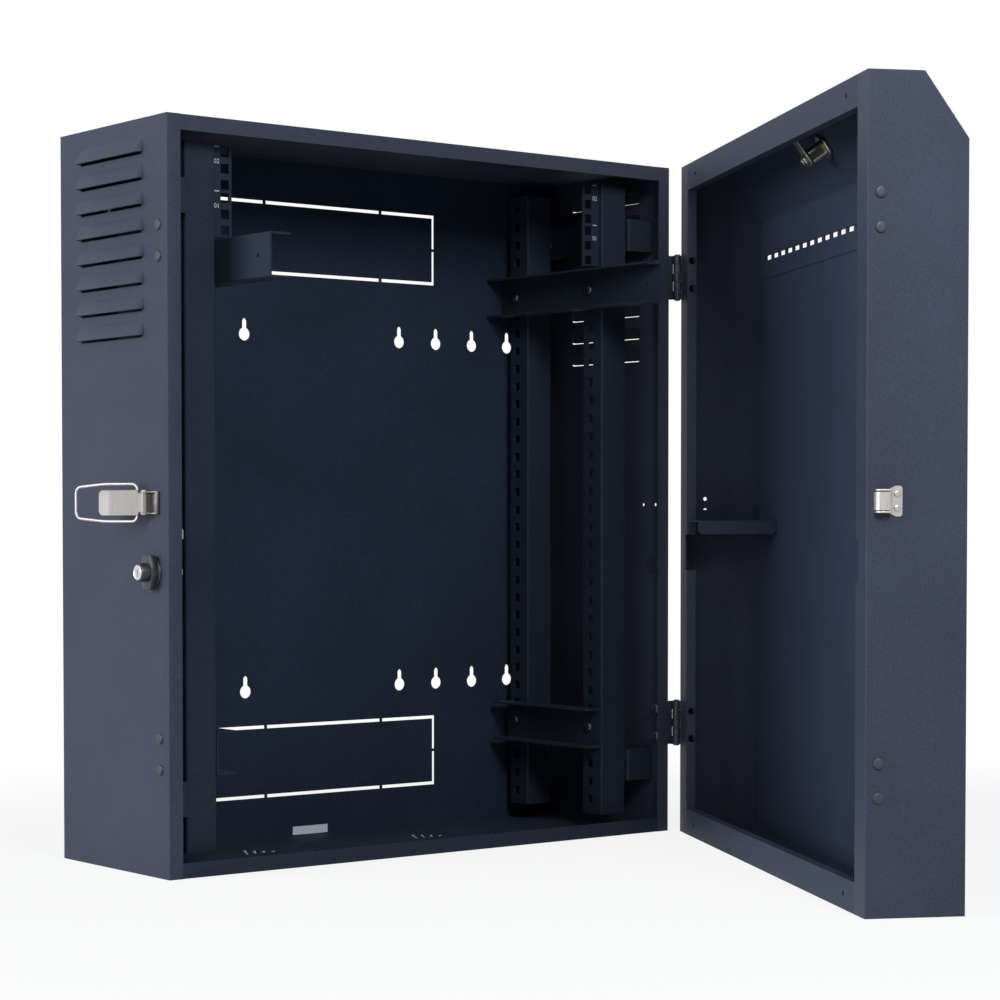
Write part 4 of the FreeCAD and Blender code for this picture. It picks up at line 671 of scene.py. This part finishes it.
for level, middle in (("upper", HINGE_LEVEL), ("lower", -HINGE_LEVEL)):
    settle(f"hinge_case_leaf_{level}_black", hinge_leaf(middle, 1, 0.027, (0, 2, 4)), hinge_black,
           "case", "hinge_black", f"hinge_case_leaf_{level}")
    door_leaf = hinge_leaf(middle, -1, 0.0215, (1, 3))
    door_leaf.transform(DOOR_SWING)
    settle(f"hinge_door_leaf_{level}_black", door_leaf, hinge_black,
           "door", "hinge_black", f"hinge_door_leaf_{level}")
    stub = [(0, -0.0254), (0.0026, -0.0254), (0.0034, -0.0249), (0.0034, -0.0241),
            (0.00225, -0.0241)]
    pin = turned(stub + [(radius, -height) for radius, height in reversed(stub)])
    settle(f"hinge_pin_{level}_black",
           join(bmesh.new(), pin, Matrix.Translation((*HINGE_AXIS, middle))),
           hinge_black, "case", "hinge_black", f"hinge_pin_{level}")

LEAF_OUT = SIDE_OUT + LEAF
WALL_IN = SIDE_OUT - SHEET
DOOR_SCREW_ROW = CASE_FRONT - 0.015


def hinge_places(across, row, way, swing=Matrix()):
    """The four hinge holes' places in one wall, facing one way along X."""
    return [swing @ facing((across, row, z), (way, 0, 0)) for z in HINGE_ROWS]


settle("hinge_case_screws_black",
       join(bmesh.new(), pan_screw(), *hinge_places(LEAF_OUT, CASE_SCREW_ROW, 1)),
       hinge_black, "case", "hinge_black", "hinge_case_screws")
settle("hinge_case_nuts_plated",
       join(bmesh.new(), hexagon_nut(*M6_NUT), *hinge_places(WALL_IN, CASE_SCREW_ROW, -1)),
       zinc, "case", "zinc", "hinge_case_nuts")
settle("hinge_door_screws_black",
       join(bmesh.new(), pan_screw(), *hinge_places(LEAF_OUT, DOOR_SCREW_ROW, 1, DOOR_SWING)),
       hinge_black, "door", "hinge_black", "hinge_door_screws")
door_nut_places = hinge_places(WALL_IN, DOOR_SCREW_ROW, -1, DOOR_SWING)
settle("hinge_door_nuts_black", join(bmesh.new(), hexagon_nut(*M6_NUT), *door_nut_places),
       hinge_black, "door", "hinge_black", "hinge_door_nuts")

# ---------------------------------------------------------------- hole plugs
# Black moulded plugs close the holes that a left hand door would use, four on the case, four
# on the door, and a wide one where its lock would go.


def moulded_plastic(name, colour, roughness):
    """Plastic with the fine matt grain of a mould."""
    plastic = bpy.data.materials.new(name)
    plastic.use_nodes = True
    tree = plastic.node_tree
    skin = tree.nodes["Principled BSDF"]
    where = tree.nodes.new("ShaderNodeTexCoord")
    cloud = tree.nodes.new("ShaderNodeTexNoise")
    cloud.inputs["Scale"].default_value = 60
    cloud.inputs["Detail"].default_value = 4
    tone = tree.nodes.new("ShaderNodeValToRGB")
    tone.color_ramp.elements[0].color = (*[c * 0.8 for c in colour], 1)
    tone.color_ramp.elements[1].color = (*[c * 1.25 for c in colour], 1)
    shine = tree.nodes.new("ShaderNodeMapRange")
    shine.inputs["To Min"].default_value = roughness - 0.07
    shine.inputs["To Max"].default_value = roughness + 0.07
    pore = tree.nodes.new("ShaderNodeTexNoise")
    pore.inputs["Scale"].default_value = 1500
    bump = tree.nodes.new("ShaderNodeBump")
    bump.inputs["Distance"].default_value = 0.00002
    for target in (cloud, pore):
        tree.links.new(where.outputs["Object"], target.inputs["Vector"])
    tree.links.new(cloud.outputs["Fac"], tone.inputs["Fac"])
    tree.links.new(tone.outputs["Color"], skin.inputs["Base Color"])
    tree.links.new(cloud.outputs["Fac"], shine.inputs["Value"])
    tree.links.new(shine.outputs[0], skin.inputs["Roughness"])
    tree.links.new(pore.outputs["Fac"], bump.inputs["Height"])
    tree.links.new(bump.outputs[0], skin.inputs["Normal"])
    return plastic


def hole_plug(radius, stem, height=0.0020, depth=0.003):
    """A domed cap on Z zero with its stem below."""
    return turned([(0, -depth), (stem - 0.0003, -depth), (stem, 0.0003 - depth), (stem, 0),
                   (radius, 0), (radius, height * 0.35), (radius * 0.93, height * 0.75),
                   (radius * 0.78, height * 0.97), (radius * 0.4, height), (0, height)])


plug_black = moulded_plastic("plug_plastic", (0.028, 0.032, 0.046), 0.50)
knob_black = moulded_plastic("knob_plastic", (0.020, 0.021, 0.025), 0.38)
settle("case_plugs_black",
       join(bmesh.new(), hole_plug(0.0052, 0.0032), *hinge_places(-SIDE_OUT, CASE_SCREW_ROW, -1)),
       plug_black, "case", "black_plastic", "case_plugs")
door_plug_places = hinge_places(-SIDE_OUT, DOOR_SCREW_ROW, -1, DOOR_SWING)
settle("door_plugs_black", join(bmesh.new(), hole_plug(0.0052, 0.0032), *door_plug_places),
       plug_black, "door", "black_plastic", "door_plugs")
lock_plug = join(bmesh.new(), hole_plug(0.011, 0.0091, 0.0015, 0.0025),
                 facing((SIDE_OUT, *LOCK_AT), (1, 0, 0)))
settle("side_lock_plug_black", lock_plug, plug_black, "case", "black_plastic", "side_lock_plug")

# ---------------------------------------------------------------- draw latch
# Nickel plated draw latch riveted to the left wall: a pressed bracket with two ears, a pin,
# a lever curled round the pin and bent up at its tip, and a bail of wire in the lever's ears.
nickel = plated_steel("nickel_plate", (0.50, 0.47, 0.455), 0.40)
dull_nickel = plated_steel("dull_nickel_plate", (0.27, 0.25, 0.24), 0.46)
PIN_AT = (-(SIDE_OUT + 0.0083), CASE_FRONT + 0.0306)
LEVER_REST = math.radians(90 + 10)
BAIL_REST = math.radians(21)
BAIL_PIVOT = 0.010
# drawings of the latch: X back along the wall, Y out from it, Z up
LATCH_FRAME = (Matrix.Translation((-SIDE_OUT, CASE_FRONT + 0.016, LATCH_AT))
               @ Matrix.Rotation(math.pi / 2, 4, "Z"))
LEVER_FRAME = Matrix.Translation((*PIN_AT, LATCH_AT)) @ Matrix.Rotation(LEVER_REST, 4, "Z")
BAIL_FRAME = (LEVER_FRAME @ Matrix.Translation((BAIL_PIVOT, 0, 0))
              @ Matrix.Rotation(BAIL_REST, 4, "Z"))

bracket = rounded(block((0, 0, -0.011), (0.030, 0.0015, 0.011)), 0.0004)
for low in (-0.011, 0.0095):
    ear = slab([(0.0002, 0), (0.030, 0), (0.030, 0.0034), (0.0188, 0.0045), (0.0188, 0.0083),
                (0.0104, 0.0083), (0.0104, 0.0045), (0.0002, 0.004)], 0.0015, low)
    join(bracket, rounded(ear, 0.0003))
    join(bracket, rod(0.0042, 0.0015), Matrix.Translation((0.0146, 0.0083, low + 0.00075)))
rim = rounded(block((0, 0, -0.011), (0.0013, 0.004, 0.011)), 0.0005)
join(bracket, rim)
bracket.transform(LATCH_FRAME)
settle("latch_bracket_plated", bracket, dull_nickel, "case", "nickel", "latch_bracket")

head = [(0, 0.0123), (0.0018, 0.0122), (0.0027, 0.0118), (0.0029, 0.0112), (0.002, 0.0112)]
pin = turned([(radius, -level) for radius, level in head] + list(reversed(head)))
settle("latch_pin_plated", join(bmesh.new(), pin, Matrix.Translation((*PIN_AT, LATCH_AT))), nickel,
       "case", "nickel", "latch_pin")

blade = slab([(0.0050, 0.0021), (0.046, 0.0021), (0.0495, 0.0024), (0.0530, 0.0032),
              (0.060, 0.0055), (0.0596, 0.0067), (0.0526, 0.0044), (0.0492, 0.0036),
              (0.046, 0.0033), (0.0050, 0.0033)], 0.0243, -0.01215)
rounded(blade, 0.0045, lambda a, b: abs(a.z - b.z) < 1e-6 and min(a.x, b.x) > 0.0590, 6)
rounded(blade, 0.0025, lambda a, b: (abs(a.z - b.z) < 1e-6 and max(a.x, b.x) < 0.0052
                                     and abs(a.y - b.y) > 0.001), 4)
join(blade, block((0, 0.0021, -0.009), (0.006, 0.0033, 0.009)))
curl = turned([(0.00206, -0.009), (0.0033, -0.009), (0.0033, 0.009), (0.00206, 0.009)], closed=True)
join(blade, curl)
for low in (-0.01215, 0.01095):
    join(blade, rounded(block((0.0058, -0.0026, low), (0.0145, 0.0030, low + 0.0012)), 0.0003))
bore = join(bmesh.new(), rod(0.0016, 0.030), Matrix.Translation((BAIL_PIVOT, 0, 0)))
blade = punched(blade, bore)
blade.transform(LEVER_FRAME)
settle("latch_lever_plated", blade, dull_nickel, "latch_lever", "nickel", "latch_lever")

loop = bmesh.new()
bends = ((0, -0.018), (0, 0.018), (0.036, 0.018), (0.067, 0.0148), (0.067, -0.0148),
         (0.036, -0.018))
loop.faces.new([loop.verts.new((u, 0, w)) for u, w in bends])
bmesh.ops.bevel(loop, geom=loop.verts, offset=0.0056, offset_type="OFFSET", affect="VERTICES",
                segments=7, profile=0.5, material=-1, clamp_overlap=True)
loop.faces.ensure_lookup_table()
route = [vert.co.copy() for vert in loop.faces[0].verts]
loop.free()
wire = bpy.data.curves.new("bail_route", "CURVE")
wire.dimensions = "3D"
wire.bevel_depth = 0.0014
wire.bevel_resolution = 5
spline = wire.splines.new("POLY")
spline.points.add(len(route) - 1)
for point, place in zip(spline.points, route):
    point.co = (*place, 1)
spline.use_cyclic_u = True
wire_object = bpy.data.objects.new("bail_route", wire)
scene.collection.objects.link(wire_object)
bpy.context.view_layer.update()
tube = bpy.data.meshes.new_from_object(wire_object)
bpy.data.objects.remove(wire_object)
bail = bmesh.new()
bail.from_mesh(tube)
bail.transform(BAIL_FRAME)
settle("latch_bail_plated", bail, nickel, "latch_bail", "nickel", "latch_bail", crisp=60)


def blind_rivet():
    """A domed rivet on Z zero with the dimple of its pulled stem."""
    return turned([(0, -0.003), (0.0019, -0.003), (0.0019, 0), (0.0032, 0), (0.0031, 0.0004),
                   (0.0025, 0.0009), (0.0015, 0.0012), (0.0010, 0.0011), (0.0009, 0.0006),
                   (0, 0.0006)], 24)


latch_rivet_places = [facing((-SIDE_OUT - 0.0015, y, LATCH_AT), (-1, 0, 0))
                      for y in LATCH_RIVET_ROW]
latch_rivets = join(bmesh.new(), blind_rivet(), *latch_rivet_places)
settle("latch_rivets_plated", latch_rivets, zinc, "case", "zinc", "latch_rivets")

# ---------------------------------------------------------------- keeper
# The latch's keeper is pressed from nickel plated strip: a flat foot with two blind rivets
# and a ribbed hook that stands off the door's free side.
KEEPER_FRAME = (DOOR_SWING @ Matrix.Translation((-SIDE_OUT, CASE_FRONT - 0.035, LATCH_AT))
                @ Matrix.Rotation(math.pi / 2, 4, "Z"))
foot = slab([(0, -0.0132), (0.0060, -0.0132), (0.0118, -0.0103), (0.0118, 0.0103),
             (0.0060, 0.0132), (0, 0.0132)], 0.0012)
rounded(foot, 0.0022, lambda a, b: abs(a.z - b.z) > 1e-6 and max(a.x, b.x) < 1e-6, 5)
STOOD_UP = Matrix(((1, 0, 0, 0), (0, 0, 1, 0), (0, 1, 0, 0), (0, 0, 0, 1)))
foot.transform(STOOD_UP)
hump = [(0.0096, 0.0012), (0.0101, 0.0020), (0.0106, 0.0062), (0.0114, 0.0075),
        (0.0128, 0.0080), (0.0196, 0.0080), (0.0216, 0.0075), (0.0232, 0.0061),
        (0.0245, 0.0038), (0.0256, 0.0004), (0.0243, 0.0002), (0.0232, 0.0034),
        (0.0220, 0.0053), (0.0208, 0.0064), (0.0192, 0.0068), (0.0132, 0.0068),
        (0.0122, 0.0064), (0.0117, 0.0056), (0.0112, 0.0004)]
join(foot, rounded(slab(hump, 0.0160, -0.0080), 0.0002, steps=1))
rib = [(u, w + (0.0006 if index < 9 else -0.0004)) for index, (u, w) in enumerate(hump)]
for low in (-0.0103, 0.0087):
    join(foot, rounded(slab(rib, 0.0016, low), 0.0003))
foot.transform(KEEPER_FRAME)
settle("latch_keeper_plated", foot, nickel, "door", "nickel", "latch_keeper")
keeper_rivet_places = [
    DOOR_SWING @ facing((-SIDE_OUT - 0.0012, CASE_FRONT - 0.0306, LATCH_AT + end * 0.0062),
                        (-1, 0, 0)) for end in (-1, 1)]
keeper_rivets = join(bmesh.new(), blind_rivet(), *keeper_rivet_places)
settle("keeper_rivets_plated", keeper_rivets, nickel, "door", "zinc", "keeper_rivets")

# ---------------------------------------------------------------- side lock
# A black knob lock on the left wall: a round rose, a two-winged knob that turns a hook cam
# inside, and a chromed key plug in the knob's face. The cam, its screw and the nut are zinc.
LOCK_FRAME = facing((-SIDE_OUT, *LOCK_AT), (-1, 0, 0))
rose = turned([(0.00606, -0.022), (0.0085, -0.022), (0.009, -0.0215), (0.009, 0), (0.013, 0),
               (0.013, 0.0011), (0.0126, 0.0019), (0.0116, 0.0025), (0.0098, 0.0025),
               (0.00606, 0.0025)], 48, closed=True)
settle("side_lock_rose", join(bmesh.new(), rose, LOCK_FRAME), knob_black,
       "case", "black_plastic", "side_lock_body")
knob = turned([(0, -0.0232), (0.006, -0.0232), (0.006, 0.0028), (0.0113, 0.0028),
               (0.0115, 0.0034), (0.0113, 0.0042), (0.0094, 0.0050), (0.0090, 0.0058),
               (0.0090, 0.0168), (0.0087, 0.0177), (0.0080, 0.0180),
               (0, 0.0180)], 48)
wings = slab([(-0.0070, -0.0165), (0.0070, -0.0165), (0.0110, -0.0050), (0.0110, 0.0050),
              (0.0070, 0.0165), (-0.0070, 0.0165), (-0.0110, 0.0050), (-0.0110, -0.0050)],
             0.0064, 0.0030)
join(knob, rounded(wings, 0.0012, steps=3))
join(knob, block((-0.0035, -0.0035, -0.0255), (0.0035, 0.0035, -0.0230)))
knob = punched(knob, join(bmesh.new(), rod(0.00556, 0.0138), Matrix.Translation((0, 0, 0.0131))))
settle("side_knob_moulded", join(bmesh.new(), knob, LOCK_FRAME), knob_black,
       "side_knob", "black_plastic", "side_knob")
plug = turned([(0, 0.0066), (0.0055, 0.0066), (0.0055, 0.0182), (0.0072, 0.0183),
               (0.0073, 0.0187), (0.0071, 0.0191),
               (0.0064, 0.0193), (0.0058, 0.0190), (0.0050, 0.0189), (0, 0.0189)], 48)
keyway = rounded(block((-0.0007, -0.0042, 0.0165), (0.0007, 0.0030, 0.021)), 0.0002, steps=1)
plug = punched(plug, keyway)
chrome = plated_steel("key_plug_chrome", (0.72, 0.73, 0.78), 0.2)
settle("side_key_plug_chrome", join(bmesh.new(), plug, LOCK_FRAME), chrome,
       "side_key", "nickel", "side_key_plug")
finish_nodes(zinc, ["side_cam", "side_cam_screw", "side_lock_nut"])

# ---------------------------------------------------------------- top lock
# A cam lock through the door's slope: a threaded nickel barrel with two flats, a wide nut
# inside, and a plug with a square end that carries a flat cam under a small nut.
SLOPE_DROP, SLOPE_BACK = 0.057, 0.0402
SLOPE = math.atan2(SLOPE_DROP, SLOPE_BACK)
LOCK_DOWN_SLOPE = 0.0234 / math.hypot(SLOPE_DROP, SLOPE_BACK)
DOOR_GAP, TRAY_DEEP = 0.003, 0.0913
DOOR_FACE = CASE_FRONT - DOOR_GAP - TRAY_DEEP
SEAT = (0, DOOR_FACE + SLOPE_BACK * (1 - LOCK_DOWN_SLOPE),
        HALF_HEIGHT - SLOPE_DROP * LOCK_DOWN_SLOPE)
SLOPE_FRAME = DOOR_SWING @ Matrix.Translation(SEAT) @ Matrix.Rotation(SLOPE, 4, "X")
thread = [(0.0085 - (0.0004 if ridge % 2 else 0), -0.0215 + ridge * 0.0005) for ridge in range(39)]
lip = [(0.0085, 0), (0.011, 0), (0.011, 0.0012), (0.0104, 0.0020), (0.0092, 0.0024),
       (0.00506, 0.0024)]
barrel = turned([(0.00506, -0.022), (0.0081, -0.022)] + thread + lip, 40, closed=True)
flats = join(bmesh.new(), block((-0.0123, -0.012, -0.025), (-0.0073, 0.012, -0.0015)),
             Matrix(), Matrix.Rotation(math.pi, 4, "Z"))
barrel = punched(barrel, flats)
warm_nickel = plated_steel("warm_nickel_plate", (0.55, 0.53, 0.42), 0.30)
settle("top_lock_barrel", join(bmesh.new(), barrel, SLOPE_FRAME), warm_nickel,
       "door", "nickel", "top_lock_body")
collar = join(bmesh.new(), hexagon_nut(0.024, 0.0035, 0.0086), Matrix.Translation((0, 0, -0.005)))
collar.transform(SLOPE_FRAME)
settle("top_lock_nut_plated", collar, warm_nickel, "door", "zinc", "top_lock_nut")
core = turned([(0, -0.0305), (0.0026, -0.0305), (0.0029, -0.0302), (0.0029, -0.0248),
               (0.0029, -0.0220), (0.0050, -0.0220), (0.0050, 0.0027), (0.0080, 0.0027),
               (0.0080, 0.0032), (0.0074, 0.0036), (0, 0.0036)])
join(core, block((-0.003, -0.003, -0.0251), (0.003, 0.003, -0.0222)))
core = punched(core, block((-0.0007, -0.004, 0.001), (0.0007, 0.004, 0.005)))
core.transform(SLOPE_FRAME)
settle("top_lock_plug_plated", core, nickel, "top_lock", "nickel", "top_lock_plug")
cam = slab([(-0.0065, 0), (0.0065, 0), (0.0065, 0.030), (-0.0065, 0.030)], 0.0023, -0.025)
rounded(cam, 0.003, lambda a, b: min(a.y, b.y) > 0.029 and abs(a.z - b.z) > 0.001, 5)
rounded(cam, 0.0003, steps=1)
join(cam, rounded(rod(0.008, 0.0023), 0.0003, steps=1), Matrix.Translation((0, 0, -0.02385)))
cam = punched(cam, block((-0.00305, -0.00305, -0.03), (0.00305, 0.00305, -0.02)))
cam.transform(SLOPE_FRAME)
settle("top_lock_cam_plated", cam, zinc, "top_lock", "zinc", "top_lock_cam")
end_nut = join(bmesh.new(), hexagon_nut(0.010, 0.0026, 0.00296),
               Matrix.Translation((0, 0, -0.0286)))
washer = turned([(0.00296, -0.0258), (0.0058, -0.0258), (0.0058, -0.0252), (0.00296, -0.0252)],
                closed=True)
join(end_nut, washer)
end_nut.transform(SLOPE_FRAME)
settle("top_lock_cam_nut_plated", end_nut, warm_nickel, "top_lock", "zinc", "top_lock_cam_nut")
